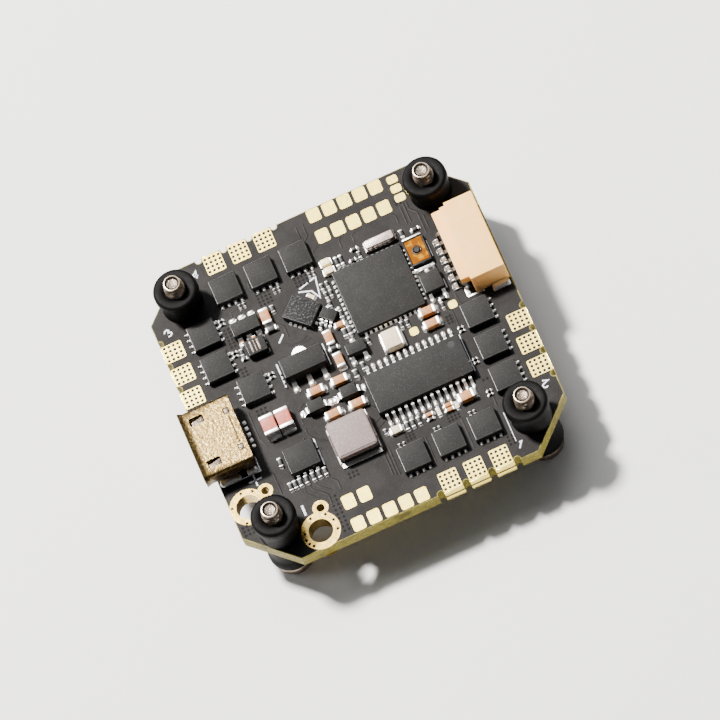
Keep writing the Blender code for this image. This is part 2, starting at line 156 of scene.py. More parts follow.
class Surface:
    """A Principled material whose colour, roughness and bump come from noise over object coordinates."""

    def __init__(self, name, colour, roughness, metallic, specular):
        self.material = plain_material(name, colour, roughness, metallic)
        self.tree = self.material.node_tree
        self.shader = self.tree.nodes["Principled BSDF"]
        self.shader.inputs["Specular IOR Level"].default_value = specular
        self.colour = colour
        self.place = self.node("ShaderNodeTexCoord").outputs["Object"]

    def node(self, kind):
        return self.tree.nodes.new(kind)

    def link(self, start, end):
        self.tree.links.new(start, end)

    def noise(self, grain_mm, detail, stretch=1):
        """A noise value from 0 to 1 whose features are about grain_mm across, and flatter by stretch."""
        texture = self.node("ShaderNodeTexNoise")
        texture.inputs["Scale"].default_value = 1.0 / (grain_mm * MM)
        texture.inputs["Detail"].default_value = detail
        mapping = self.node("ShaderNodeMapping")
        mapping.inputs["Scale"].default_value = (1, 1, stretch)
        self.link(self.place, mapping.inputs["Vector"])
        self.link(mapping.outputs["Vector"], texture.inputs["Vector"])
        return texture.outputs["Fac"]

    def ramp(self, value, low, high):
        """The value with its range low..high spread over 0..1."""
        spread = self.node("ShaderNodeMapRange")
        spread.inputs["From Min"].default_value = low
        spread.inputs["From Max"].default_value = high
        self.link(value, spread.inputs["Value"])
        return spread.outputs["Result"]

    def tint(self, value, other):
        """Blend towards another colour where the value is 1."""
        mix = self.node("ShaderNodeMix")
        mix.data_type = "RGBA"
        base = self.shader.inputs["Base Color"]
        if base.links:
            self.link(base.links[0].from_socket, mix.inputs["A"])
        else:
            mix.inputs["A"].default_value = (*self.colour, 1)
        mix.inputs["B"].default_value = (*other, 1)
        self.link(value, mix.inputs["Factor"])
        self.link(mix.outputs["Result"], base)

    def roughen(self, value, low, high):
        spread = self.node("ShaderNodeMapRange")
        spread.inputs["To Min"].default_value = low
        spread.inputs["To Max"].default_value = high
        self.link(value, spread.inputs["Value"])
        self.link(spread.outputs["Result"], self.shader.inputs["Roughness"])

    def bump(self, value, depth_mm, strength):
        bump = self.node("ShaderNodeBump")
        bump.inputs["Distance"].default_value = depth_mm * MM
        bump.inputs["Strength"].default_value = strength
        self.link(value, bump.inputs["Height"])
        self.link(bump.outputs["Normal"], self.shader.inputs["Normal"])


SURFACES = {
    # each surface: its name, colour, roughness, metallic and specular; its tints; its roughness; its bump
    # a tint is a noise, the range of it that blends in, and the colour; the roughness a noise and a range;
    # the bump a noise, a depth in mm and a strength; a noise is a grain in mm, detail and any stretch
    "mask": (
        ("solder_mask_ink", (0.0115, 0.0102, 0.0098), 0.42, 0, 0.052),
        [((2.5, 3), 0.42, 0.62, (0.017, 0.0153, 0.0148)), ((0.09, 1), 0.6, 0.72, (0.028, 0.026, 0.024))],
        ((0.5, 3), 0.34, 0.55), ((0.16, 3), 0.012, 0.6),
    ),
    "laminate": (
        ("laminate_edge", (0.13, 0.105, 0.004), 0.5, 0, 0.2),
        [
            ((0.5, 4, 9), 0.4, 0.66, (0.33, 0.27, 0.03)), ((0.16, 2), 0.58, 0.72, (0.5, 0.42, 0.12)),
            ((1.6, 2), 0.56, 0.72, (0.1, 0.08, 0.003)),
        ],
        None, ((0.09, 3, 5), 0.02, 0.7),
    ),
    "moulding": (
        ("moulding_epoxy", (0.013, 0.0125, 0.0122), 0.48, 0, 0.066),
        [((1.4, 2), 0.4, 0.7, (0.01625, 0.015625, 0.01525)), ((0.1, 2), 0.58, 0.72, (0.04, 0.038, 0.037))],
        ((0.12, 2), 0.4, 0.62), ((0.07, 2), 0.012, 0.8),
    ),
    "sensor_moulding": (
        ("sensor_moulding_epoxy", (0.008, 0.008, 0.0085), 0.48, 0, 0.066),
        [((1.4, 2), 0.4, 0.7, (0.01, 0.01, 0.010625)), ((0.15, 2), 0.52, 0.72, (0.09, 0.09, 0.09))],
        ((0.12, 2), 0.4, 0.62), ((0.07, 2), 0.012, 0.8),
    ),
    "rubber": (
        ("damper_rubber", (0.0018, 0.0017, 0.0017), 0.5, 0, 0.06),
        [((0.6, 3), 0.5, 0.75, (0.0036, 0.0033, 0.0033))],
        ((0.3, 3), 0.42, 0.68), ((0.12, 3), 0.015, 0.7),
    ),
    "steel": (
        ("screw_steel_turned", (0.26, 0.21, 0.16), 0.28, 1, 0.5),
        [((0.3, 3), 0.5, 0.7, (0.2, 0.15, 0.11))],
        ((0.15, 3, 4), 0.2, 0.45), ((0.06, 2, 6), 0.006, 0.6),
    ),
    "gilt": (
        ("usb_gilt", (0.105, 0.07, 0.024), 0.3, 1, 0.5),
        [((0.3, 4), 0.5, 0.66, (0.19, 0.145, 0.07)), ((0.2, 3), 0.56, 0.68, (0.05, 0.026, 0.008))],
        ((0.2, 3), 0.22, 0.42), ((0.26, 4), 0.05, 0.9),
    ),
    "gold": (
        ("pad_gold", (0.78, 0.6, 0.13), 0.22, 1, 0.5),
        [((0.35, 3), 0.5, 0.75, (0.88, 0.72, 0.22))],
        ((0.2, 3), 0.14, 0.26), ((0.12, 3), 0.01, 0.6),
    ),
    "copper": (
        ("ring_gold", (0.42, 0.28, 0.07), 0.26, 1, 0.5),
        [((0.5, 3), 0.46, 0.7, (0.55, 0.4, 0.13))],
        ((0.3, 3), 0.14, 0.28), ((0.1, 3), 0.01, 0.6),
    ),
    "tin": (
        ("solder_tin", (0.86, 0.85, 0.83), 0.3, 1, 0.5),
        [((0.2, 3), 0.5, 0.72, (0.66, 0.64, 0.61))],
        ((0.15, 3), 0.26, 0.5), ((0.2, 2), 0.02, 0.6),
    ),
    "nylon": (
        ("socket_nylon_cream", (1.0, 0.54, 0.17), 0.5, 0, 0.12),
        [((1.2, 3), 0.45, 0.75, (1.0, 0.6, 0.23))],
        ((0.4, 3), 0.36, 0.5), ((0.15, 3), 0.008, 0.7),
    ),
    "plastic": (
        ("black_moulding", (0.006, 0.006, 0.0062), 0.45, 0, 0.15),
        [((0.4, 2), 0.5, 0.8, (0.01, 0.0098, 0.0098))],
        None, ((0.1, 2), 0.008, 0.6),
    ),
    "film": (
        ("button_film", (0.17, 0.05, 0.0), 0.45, 0, 0.02),
        [((0.8, 2), 0.46, 0.64, (0.38, 0.17, 0.0))],
        None, ((0.9, 1), 0.05, 0.5),
    ),
    "lid": (
        ("crystal_lid_nickel", (0.21, 0.17, 0.155), 0.3, 1, 0.5),
        [((0.5, 3), 0.5, 0.75, (0.36, 0.3, 0.28))],
        ((0.25, 3), 0.24, 0.44), ((0.2, 3), 0.01, 0.7),
    ),
    "powder": (
        ("inductor_powder", (0.15, 0.108, 0.1), 0.45, 0, 0.25),
        [((0.14, 3), 0.46, 0.72, (0.24, 0.18, 0.168))],
        ((0.3, 3), 0.38, 0.55), ((0.12, 3), 0.02, 0.8),
    ),
    "ink": (
        ("white_ink", (0.8, 0.82, 0.88), 0.6, 0, 0.2),
        [((0.12, 3), 0.54, 0.72, (0.32, 0.33, 0.37))],
        None, ((0.08, 2), 0.008, 0.6),
    ),
    # the six-way socket's contacts: metal painted dark, a painted shade for their tails' slopes and the
    # inside of the socket
    "contact_in_shade": (
        ("contact_metal_painted_shade", (0.045, 0.036, 0.028), 0.5, 1, 0.5),
        [((0.2, 2), 0.5, 0.7, (0.09, 0.073, 0.058))],
        None, None,
    ),
    # the chips' rolled edges: a lighter colour than the moulding, a painted highlight, and glossier
    "moulding_rim_highlight": (
        ("moulding_edge_painted_highlight", (0.03, 0.029, 0.028), 0.3, 0, 0.5),
        [((0.25, 3), 0.45, 0.65, (0.014, 0.0135, 0.013))],
        ((0.15, 2), 0.24, 0.4), ((0.09, 2), 0.01, 0.8),
    ),
    # darker steel for the screws' tip cups, the USB latches and the oscillator's bands; in the cups the
    # darkness is painted shade in the hollow
    "dark_steel": (
        ("screw_end_steel", (0.07, 0.056, 0.045), 0.42, 1, 0.5),
        [((0.13, 2), 0.52, 0.64, (0.26, 0.21, 0.17))],
        None, ((0.12, 2), 0.03, 0.9),
    ),
    "shade": (
        ("via_shade", (0.002, 0.0018, 0.0018), 0.5, 0, 0.05),
        [((0.2, 2), 0.5, 0.8, (0.005, 0.004, 0.003))],
        None, None,
    ),
}
CERAMICS = {
    # colour, the colour it blends into, roughness
    "pink_ceramic": ((0.42, 0.1, 0.065), (0.5, 0.15, 0.1), 0.42),
    "tan_ceramic": ((0.36, 0.14, 0.045), (0.46, 0.22, 0.09), 0.4),
    "dark_ceramic": ((0.008, 0.0075, 0.0075), (0.02, 0.019, 0.019), 0.35),
    "cream_ceramic": ((0.62, 0.5, 0.33), (0.72, 0.6, 0.44), 0.38),
    "led_lens": ((0.9, 0.74, 0.4), (0.95, 0.86, 0.62), 0.2),
}
for ceramic, (base_colour, blend_colour, shine) in CERAMICS.items():
    SURFACES[ceramic] = (
        (ceramic + "_body", base_colour, shine, 0, 0.2),
        [((0.35, 3), 0.42, 0.68, blend_colour)],
        ((0.2, 3), shine - 0.08, shine + 0.14), ((0.09, 2), 0.008, 0.7),
    )


def make_materials():
    made = {}
    for name, (base, tints, rough, bump) in SURFACES.items():
        surface = Surface(*base)
        for noise, low, high, other in tints:
            surface.tint(surface.ramp(surface.noise(*noise), low, high), other)
        if rough:
            noise, low, high = rough
            surface.roughen(surface.noise(*noise), low, high)
        if bump:
            noise, depth, strength = bump
            surface.bump(surface.noise(*noise), depth, strength)
        made[name] = surface.material
        if name == "nylon":
            surface.shader.inputs["Subsurface Weight"].default_value = 0.3
            surface.shader.inputs["Subsurface Radius"].default_value = (1.0, 0.4, 0.12)
            surface.shader.inputs["Subsurface Scale"].default_value = 0.8 * MM
    return made


# ------------------------------------------------------------------ shapes


CORNER_STEPS = 3
DOME_STEPS = 3
FLIP = Matrix.Rotation(math.pi, 4, "X")


def at(x, y, z=0.0, turn=0.0):
    """A place in the part's frame, turned about Z by degrees."""
    return Matrix.Translation((x, y, z)) @ Matrix.Rotation(math.radians(turn), 4, "Z")


def standing(node):
    """Size and middle of a CAD node, and the place at the middle of its lowest face."""
    low, high = millimetres(node)
    middle = (low + high) / 2
    return high - low, middle, at(middle.x, middle.y, low.z)


def centred(count, pitch):
    """Places of a row at a pitch, about the row's middle."""
    return [(i - (count - 1) / 2) * pitch for i in range(count)]


def rounded_rectangle(width, depth, radius, z):
    """Points of a rectangle with round corners, anticlockwise."""
    radius = max(min(radius, width / 2 - 1e-4, depth / 2 - 1e-4), 1e-4)
    points = []
    for sx, sy, start in ((1, 1, 0), (-1, 1, 90), (-1, -1, 180), (1, -1, 270)):
        for step in range(CORNER_STEPS + 1):
            angle = math.radians(start + 90 * step / CORNER_STEPS)
            x = sx * (width / 2 - radius) + radius * math.cos(angle)
            y = sy * (depth / 2 - radius) + radius * math.sin(angle)
            points.append((x, y, z))
    return points


def ring(radius, z, steps):
    angles = [2 * math.pi * i / steps for i in range(steps)]
    return [(radius * math.cos(a), radius * math.sin(a), z) for a in angles]


class Shape:
    """Geometry in millimetres that becomes one piece. Each face keeps the number of its material."""

    def __init__(self, *materials):
        self.bm = bmesh.new()
        self.materials = materials

    def skin(self, loops, place=None, material=0, caps=(True, True), closed=False):
        place = place or Matrix.Identity(4)
        rows = [[self.bm.verts.new(place @ Vector(p)) for p in loop] for loop in loops]
        count = len(rows[0])
        faces = []
        pairs = list(zip(rows, rows[1:]))
        if closed:
            pairs.append((rows[-1], rows[0]))
        else:
            if caps[0]:
                faces.append(self.bm.faces.new(rows[0][::-1]))
            if caps[1]:
                faces.append(self.bm.faces.new(rows[-1]))
        for low, high in pairs:
            for i in range(count):
                j = (i + 1) % count
                faces.append(self.bm.faces.new((low[i], low[j], high[j], high[i])))
        for face in faces:
            face.material_index = material

    def slab(self, width, depth, low, high, corner, edge, place, material=0, steps=2):
        """A plate with round corners whose top edge is rolled over."""
        loops = [rounded_rectangle(width, depth, corner, low)]
        for step in range(steps + 1):
            angle = math.pi / 2 * step / steps
            inset = edge * (1 - math.cos(angle))
            z = high - edge + edge * math.sin(angle)
            loops.append(rounded_rectangle(width - 2 * inset, depth - 2 * inset, corner - inset * 0.6, z))
        self.skin(loops, place, material)

    def dome(self, width, depth, height, place, material=0):
        """A soldered pad: a low dome over a rounded rectangle."""
        loops = []
        for step in range(DOME_STEPS + 1):
            angle = math.pi / 2 * step / DOME_STEPS * 0.86
            scale = math.cos(angle)
            corner = min(width, depth) * 0.4 * scale
            loops.append(rounded_rectangle(width * scale, depth * scale, corner, height * math.sin(angle)))
        self.skin(loops, place, material)

    def ribbon(self, points, width, low, high, material=0, slope=0.0):
        """A flat strip along a line of (x, y) points, with mitred corners."""
        points = [Vector(p) for p in points]
        rails = []
        for i, point in enumerate(points):
            ahead = (points[min(i + 1, len(points) - 1)] - point).normalized()
            behind = (point - points[max(i - 1, 0)]).normalized()
            along = (ahead + behind).normalized()
            side = Vector((-along.y, along.x))
            turn = ahead if ahead.length else behind
            reach = 1.0 / max(abs(side.dot(Vector((-turn.y, turn.x)))), 0.4)
            rails.append((point, side * reach))
        loops = []
        for point, side in rails:
            wide, narrow = side * (width / 2 + slope), side * width / 2
            corners = ((-wide, low), (wide, low), (narrow, high), (-narrow, high))
            loops.append([(*(point + away), z) for away, z in corners])
        self.skin(loops, None, material)

    def turned(self, profile, place, material, steps=48, closed=False):
        """A turned form from (radius, z) points."""
        self.skin([ring(r, z, steps) for r, z in profile], place, material, closed=closed)

    def profile_prism(self, outline, width, place, material=0):
        """An outline of (x, z) points run along Y to the given width."""
        loops = [[(x, y, z) for x, z in outline] for y in (-width / 2, width / 2)]
        self.skin(loops, place, material)

    def finish(self, name, body="root", replaces=(), smooth=35.0):
        """Make the piece, riding on its body, with its shape's materials in its slots."""
        bmesh.ops.scale(self.bm, vec=(MM, MM, MM), verts=self.bm.verts)
        bmesh.ops.recalc_face_normals(self.bm, faces=self.bm.faces)
        mesh = bpy.data.meshes.new(name)
        self.bm.to_mesh(mesh)
        self.bm.free()
        mesh.shade_smooth()
        mesh.set_sharp_from_angle(angle=math.radians(smooth))
        for material in self.materials:
            mesh.materials.append(MATERIALS[material])
        piece = bpy.data.objects.new(name, mesh)
        bpy.context.scene.collection.objects.link(piece)
        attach(piece, body)
        if replaces:
            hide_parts(*replaces)


def combine(base, others, operation):
    """Boolean of shapes while they are still in millimetres. The base keeps the result."""
    holders = []
    for number, shape in enumerate([base, *others]):
        bmesh.ops.recalc_face_normals(shape.bm, faces=shape.bm.faces)
        mesh = bpy.data.meshes.new(f"scratch_{number}")
        shape.bm.to_mesh(mesh)
        shape.bm.free()
        for material in base.materials:
            mesh.materials.append(MATERIALS[material])
        holder = bpy.data.objects.new(f"scratch_{number}", mesh)
        bpy.context.scene.collection.objects.link(holder)
        holders.append(holder)
    for other in holders[1:]:
        modifier = holders[0].modifiers.new("combine", "BOOLEAN")
        modifier.operation = operation
        modifier.solver = "EXACT"
        modifier.object = other
    bpy.context.view_layer.update()
    graph = bpy.context.evaluated_depsgraph_get()
    result = bpy.data.meshes.new_from_object(holders[0].evaluated_get(graph))
    base.bm = bmesh.new()
    base.bm.from_mesh(result)
    for holder in holders:
        bpy.data.objects.remove(holder)
    bpy.data.meshes.remove(result)


def plate(material, *slab):
    """A slab as a shape of its own, to join to another or cut it with."""
    shape = Shape(material)
    shape.slab(*slab)
    return shape


def dress(node, material):
    """Give a CAD node that stays in view its finished material."""
    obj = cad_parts[node]
    if not obj.material_slots:
        obj.data.materials.append(MATERIALS[material])
    for slot in obj.material_slots:
        slot.material = MATERIALS[material]


# ------------------------------------------------------------------ board, mask and traces


def make_mask(name, level, outwards):
    """Solder mask over one face of the laminate, a hair short of every edge and hole."""
    shape = Shape("mask")
    shape.bm.from_mesh(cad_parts["circuit_board"].data)
    bmesh.ops.scale(shape.bm, vec=(1 / MM, 1 / MM, 1 / MM), verts=shape.bm.verts)
    bmesh.ops.remove_doubles(shape.bm, verts=shape.bm.verts, dist=1e-3)
    away = [f for f in shape.bm.faces if any(abs(v.co.z - level) > 0.01 for v in f.verts)]
    bmesh.ops.delete(shape.bm, geom=away, context="FACES")
    rim = bmesh.ops.inset_region(
        shape.bm, faces=shape.bm.faces, thickness=0.07, use_even_offset=True, use_boundary=True
    )
    bmesh.ops.delete(shape.bm, geom=rim["faces"], context="FACES")
    grown = bmesh.ops.extrude_face_region(shape.bm, geom=shape.bm.faces[:])
    raised = [g for g in grown["geom"] if isinstance(g, bmesh.types.BMVert)]
    bmesh.ops.translate(shape.bm, verts=raised, vec=(0, 0, outwards * FILM))
    for face in shape.bm.faces:
        face.material_index = 0
    shape.finish(name)


VIA_GRIDS = [
    # x, y of the first via, columns, rows, pitch
    (-6.1, 9.2, 4, 4, 0.38),
    (-2.3, 9.45, 4, 3, 0.38),
    (-10.2, 6.5, 2, 6, 0.38),
    (-10.2, 3.2, 2, 3, 0.38),
    (1.35, -9.85, 3, 3, 0.34),
    (5.6, -9.85, 4, 3, 0.34),
    (9.25, -0.6, 3, 3, 0.34),
    (-10.4, -1.1, 3, 2, 0.42),
    (-15.9, -11.9, 3, 3, 0.42),
    (-7.35, -15.6, 2, 9, 0.46),
    (-4.9, -10.9, 3, 2, 0.4),
    (9.3, 13.0, 2, 2, 0.4),
    (-6.9, 0.2, 1, 4, 0.5),
    (10.0, -7.4, 2, 1, 0.4),
    (13.9, 2.2, 2, 2, 0.45),
    (9.9, -14.6, 2, 3, 0.42),
]

TRACES = [
    [(-6.1, -7.0), (-6.6, -6.8), (-7.4, -6.0), (-7.4, -5.2)],
    [(-5.4, -6.4), (-6.2, -6.0), (-6.9, -5.2), (-6.9, -4.4)],
    [(-0.9, -6.9), (0.0, -6.4), (0.0, -5.6), (-0.6, -5.0), (-0.6, -4.2)],
    [(-0.9, -7.6), (0.35, -6.9), (0.35, -5.3)],
    [(-9.2, -9.9), (-9.2, -10.6), (-8.2, -11.6)],
    [(-8.6, -9.9), (-8.6, -10.3), (-7.4, -11.5), (-7.4, -12.6)],
    [(-8.0, -9.9), (-8.0, -10.2), (-6.9, -11.3)],
    [(-6.8, -9.9), (-6.1, -10.6), (-6.1, -11.6)],
    [(-9.0, 9.4), (-9.0, 9.9), (-8.2, 10.0)],
    [(-3.2, 4.4), (-3.9, 4.1), (-5.0, 4.1), (-5.6, 4.7)],
    [(-3.0, 4.0), (-4.1, 3.8)],
    [(-4.9, 5.0), (-4.9, 6.3), (-5.5, 6.9)],
    [(0.35, 11.4), (0.35, 12.2), (1.0, 12.5)],
    [(3.0, 11.2), (3.0, 12.1), (3.3, 12.4)],
    [(4.3, 11.2), (4.3, 12.0), (4.9, 12.4)],
    [(8.8, 11.1), (8.8, 12.0), (8.3, 12.4)],
    [(9.5, 10.7), (9.5, 12.6)],
    [(9.9, 10.7), (9.9, 12.9)],
    [(10.8, 9.0), (10.8, 11.4), (10.2, 12.0), (10.2, 12.9)],
    [(11.2, 9.4), (11.2, 10.9)],
    [(-0.8, 11.0), (-0.8, 13.3), (-0.2, 13.9), (-0.2, 15.2)],
    [(-0.5, 10.8), (-0.5, 12.9), (0.5, 13.9), (0.5, 15.2)],
    [(2.4, -10.3), (2.4, -10.9)],
    [(2.7, -10.2), (2.7, -13.2)],
    [(2.95, -10.2), (2.95, -13.2)],
    [(-0.55, -9.6), (-0.55, -12.8)],
    [(-0.85, -9.4), (-0.85, -12.6)],
    [(-1.15, -9.2), (-1.15, -12.4)],
    [(6.7, -10.0), (6.7, -13.4)],
    [(10.6, -8.6), (10.2, -9.0), (10.2, -10.4)],
    [(9.5, 0.9), (10.0, 0.4), (10.0, -1.4)],
    [(-11.2, -0.4), (-11.2, -3.4), (-10.8, -4.4)],
    [(-11.5, -0.4), (-11.5, -4.6)],
    [(-12.0, -6.6), (-11.3, -7.3), (-11.3, -9.6)],
    [(-6.1, -1.9), (-6.9, -2.4), (-6.9, -3.9)],
    [(5.0, -15.7), (5.0, -15.9)],
    [(10.9, 2.0), (10.9, 0.9), (11.6, 0.2), (13.2, 0.2)],
    [(11.8, 0.7), (13.6, 0.7), (14.2, 0.1)],
    [(0.0, 2.0), (0.0, 2.5)],
    [(-6.4, 12.0), (-6.4, 11.0)],
    [(-15.9, 2.2), (-15.9, 1.3)],
]


def make_copper_under_mask():
    """Traces and filled vias that show as low ridges and dots under the mask."""
    ridge = Shape("mask")
    for points in TRACES:
        ridge.ribbon(points, 0.16, TOP + FILM, TOP + FILM + 0.014, slope=0.03)
    for index in range(7):
        x = -15.3 + index * 0.24
        ridge.ribbon([(x, 2.8), (x, 1.5), (x + 0.5, 1.0)], 0.1, TOP + FILM, TOP + FILM + 0.012)
    ridge.finish("trace_ridges")
    dots = Shape("mask", "shade")
    for x0, y0, columns, rows, pitch in VIA_GRIDS:
        for column in range(columns):
            for row in range(rows):
                place = at(x0 + column * pitch, y0 + row * pitch, TOP + FILM)
                dots.turned([(0.16, 0.0), (0.14, 0.012), (0.115, 0.012)], place, 0, 10)
                dots.turned([(0.115, 0.0), (0.115, 0.0125)], place, 1, 10)
    dots.finish("vias")


# ------------------------------------------------------------------ bare pads and plated edges


def holed_cell(shape, x, y, pitch, radius, low, high):
    """A square of plate with a hole through it, one cell of a pad's grid of vias."""
    square, circle, floor = [], [], []
    for step in range(8):
        angle = math.pi / 4 * step
        reach = pitch / 2 / max(abs(math.cos(angle)), abs(math.sin(angle)))
        square.append((x + reach * math.cos(angle), y + reach * math.sin(angle), high))
        circle.append((x + radius * math.cos(angle), y + radius * math.sin(angle), high))
        floor.append((*circle[-1][:2], low))
    shape.skin([square, circle], None, 0, caps=(False, False))
    shape.skin([circle, floor], None, 1, caps=(False, False))


def motor_pad(shape, centre, along, inwards, face, outwards):
    """A pad with a four by four grid of vias that wraps over the board's edge.

    centre is on the edge, along runs along it, and outwards is 1 on the top face, -1 underneath."""
    pitch, width, reach = 0.46, 1.84, 2.04
    x = centre[0] + inwards[0] * reach / 2
    y = centre[1] + inwards[1] * reach / 2
    across_x = width if along[0] else reach
    across_y = reach if along[0] else width
    low, high = face + outwards * 0.004, face + outwards * COPPER
    under = sorted((face, face + outwards * 0.01))
    shape.slab(across_x - 0.1, across_y - 0.1, under[0], under[1], 0.1, 0.001, at(x, y), 1)
    for along_x in centred(4, pitch):
        for along_y in centred(4, pitch):
            holed_cell(shape, x + along_x, y + along_y, pitch, 0.155, low, high)
    grid = 2 * pitch
    outer = rounded_rectangle(across_x, across_y, 0.16, high)
    inner = []
    for px, py, pz in outer:
        inner.append((max(-grid, min(grid, px)), max(-grid, min(grid, py)), pz))
    lower = [(px, py, low) for px, py, pz in outer]
    shape.skin([inner, outer, lower], at(x, y), 0, caps=(False, False))


def edge_plating(shape, centre, along, inwards):
    """The pad's plated wall on the board's edge: two gold bands and the bare core between them, the core
    painted near-black as shade.
    """
    turn = math.degrees(math.atan2(along[1], along[0]))
    middle = (TOP + BOTTOM) / 2
    bands = (
        (middle + 0.08, TOP + COPPER * 0.6, 0.045, 0),
        (middle - 0.14, middle + 0.08, 0.02, 1),
        (BOTTOM - COPPER * 0.6, middle - 0.14, 0.045, 0),
    )
    for low, high, thick, material in bands:
        place = at(centre[0] - inwards[0] * thick / 2, centre[1] - inwards[1] * thick / 2, 0, turn)
        shape.slab(1.9, thick, low, high, 0.02, 0.012, place, material)


MOTOR_PAD_PITCH = 2.58
MOTOR_GROUPS = {
    # centre of each group of three on its edge, direction along the edge, direction inwards
    "top": ((-5.95, HALF), (1, 0), (0, -1)),
    "left": ((-HALF, 5.98), (0, 1), (1, 0)),
    "right": ((HALF, -5.83), (0, 1), (-1, 0)),
    "bottom": ((6.0, -HALF), (1, 0), (0, 1)),
}


def make_motor_pads():
    for side, (centre, along, inwards) in MOTOR_GROUPS.items():
        pads = Shape("gold", "shade")
        walls = Shape("gold", "shade")
        for step in centred(3, MOTOR_PAD_PITCH):
            place = (centre[0] + along[0] * step, centre[1] + along[1] * step)
            motor_pad(pads, place, along, inwards, TOP, 1)
            motor_pad(pads, place, along, inwards, BOTTOM, -1)
            edge_plating(walls, place, along, inwards)
        pads.finish(f"motor_pads_{side}")
        walls.finish(f"motor_pad_walls_{side}")


def solder_pads():
    """Places and sizes of the plain wire pads: x, y, width, depth."""
    top_columns = [1.83 + 1.575 * i for i in range(5)]
    pads = [(x, 15.58, 1.3, 1.42) for x in top_columns]
    pads += [(x, 13.22, 1.28, 1.46) for x in top_columns]
    pads += [(9.89, y, 1.06, 0.84) for y in (15.58, 14.54, 13.5)]
    pads += [(-5.9 + 1.605 * i, -15.52, 1.26, 1.44) for i in range(5)]
    pads += [(-5.9 + 1.605 * i, -13.05, 1.24, 1.5) for i in range(2)]
    return pads


def make_solder_pads():
    shape = Shape("gold")
    for x, y, width, depth in solder_pads():
        place = at(x, y, TOP, draw.uniform(-0.6, 0.6))
        shape.slab(width, depth, 0.0, COPPER + 0.01, 0.22, 0.02, place)
        shape.slab(width, depth, BOTTOM - COPPER, BOTTOM, 0.22, 0.01, at(x, y))
    for x, y in ((10.3, 1.05), (6.0, 0.15)):
        shape.slab(0.86, 0.86, 0, COPPER, 0.25, 0.02, at(x, y, TOP))
    shape.finish("solder_pads", smooth=12)


BATTERY_RINGS = {
    # big ring and small ring: x, y, outer radius, hole radius; then the dark vias on them
    "positive": (
        (-14.6, -9.33, 1.82, 1.25),
        (-12.6, -8.5, 0.74, 0.44),
        [(-14.8, -7.76), (-13.72, -8.0), (-15.35, -10.8), (-16.1, -8.8), (-13.2, -9.9)],
    ),
    "negative": (
        (-9.35, -14.6, 1.88, 1.22),
        (-8.55, -12.45, 0.76, 0.44),
        [
            (-9.8, -13.06), (-8.35, -13.25), (-7.86, -14.1), (-7.83, -15.12),
            (-10.92, -14.93), (-10.8, -15.4), (-10.5, -15.75), (-10.85, -14.3),
        ],
    ),
}


def make_battery_rings():
    for name, (big, small, vias) in BATTERY_RINGS.items():
        for label, low, high in (
            ("top", TOP - 0.02, TOP + COPPER + 0.02),
            ("bottom", BOTTOM - COPPER - 0.02, BOTTOM + 0.02),
        ):
            plate = Shape("copper")
            plate.turned([(big[2], low), (big[2], high)], at(big[0], big[1]), 0, 96)
            ear = Shape("copper")
            ear.turned([(small[2], low), (small[2], high)], at(small[0], small[1]), 0, 48)
            combine(plate, [ear], "UNION")
            holes = []
            for x, y, _, radius in (big, small):
                hole = Shape("copper")
                hole.turned([(radius - 0.05, low - 1), (radius - 0.05, high + 1)], at(x, y), 0, 96)
                holes.append(hole)
            combine(plate, holes, "DIFFERENCE")
            plate.finish(f"battery_{name}_ring_{label}")
        barrel = Shape("copper", "shade")
        for x, y, _, radius in (big, small):
            wall = [
                (radius - 0.01, BOTTOM + 0.01), (radius - 0.01, TOP - 0.01),
                (radius - 0.06, TOP - 0.01), (radius - 0.06, BOTTOM + 0.01),
            ]
            barrel.turned(wall, at(x, y), 0, 64, closed=True)
        for x, y in vias:
            top = TOP + COPPER + 0.02
            barrel.turned([(0.17, top), (0.15, top + 0.014), (0.13, top + 0.014)], at(x, y), 0, 12)
            barrel.turned([(0.13, top), (0.13, top + 0.016)], at(x, y), 1, 12)
        barrel.finish(f"battery_{name}_barrel")


# ------------------------------------------------------------------ chips and their leads

DIMPLE_DEPTH = 0.05
LEAD_PITCH = 0.65
FINE_PITCH = 0.5  # of the chips without leads
TURNED = 45  # degrees by which the motion sensor and its regulator are turned


def package(node, edge, draft, mark=None):
    """A moulded body to the CAD node's own size, with rolled edges and, where given, a pin 1 dimple."""
    size, _, place = standing(node)
    shape = Shape("moulding", "moulding_rim_highlight", "plastic")
    moulded_block(shape, size.x, size.y, size.z, edge, draft, place, mark)
    shape.finish(node + "_body", replaces=[node])


def moulded_block(shape, width, depth, height, edge, draft, place, mark):
    """A body whose sides lean in from a parting line, with a rolled top edge and an optional dimple.

    Its materials are the body's, the rolled edge's (a lighter colour there is a painted highlight along the
    edge) and the dimple's."""
    loops = [rounded_rectangle(width - draft * 2, depth - draft * 2, 0.06, 0)]
    waist = height * 0.42
    loops.append(rounded_rectangle(width, depth, 0.06, waist - 0.03))
    loops.append(rounded_rectangle(width, depth, 0.06, waist + 0.03))
    top_width, top_depth = width - 2 * draft, depth - 2 * draft
    rolled = []
    for step in range(4):
        angle = math.pi / 6 * step
        inset = edge * (1 - math.cos(angle))
        z = height - edge + edge * math.sin(angle)
        rolled.append(rounded_rectangle(top_width - 2 * inset, top_depth - 2 * inset, 0.07, z))
    loops.append(rolled[0])
    shape.skin(loops, place, 0, caps=(True, False))
    # the rolled edge takes the lighter colour, a painted highlight
    shape.skin(rolled, place, 1, caps=(False, False))
    shape.skin([rolled[-1]], place, 0, caps=(False, True))
    bmesh.ops.remove_doubles(shape.bm, verts=shape.bm.verts, dist=0.0005)
    if mark:
        x, y, radius = mark
        cutter = Shape(*shape.materials)
        hole = [(radius * 0.9, height - DIMPLE_DEPTH), (radius, height + 0.2)]
        cutter.turned(hole, place @ Matrix.Translation((x, y, 0)), 2, 24)
        combine(shape, [cutter], "DIFFERENCE")


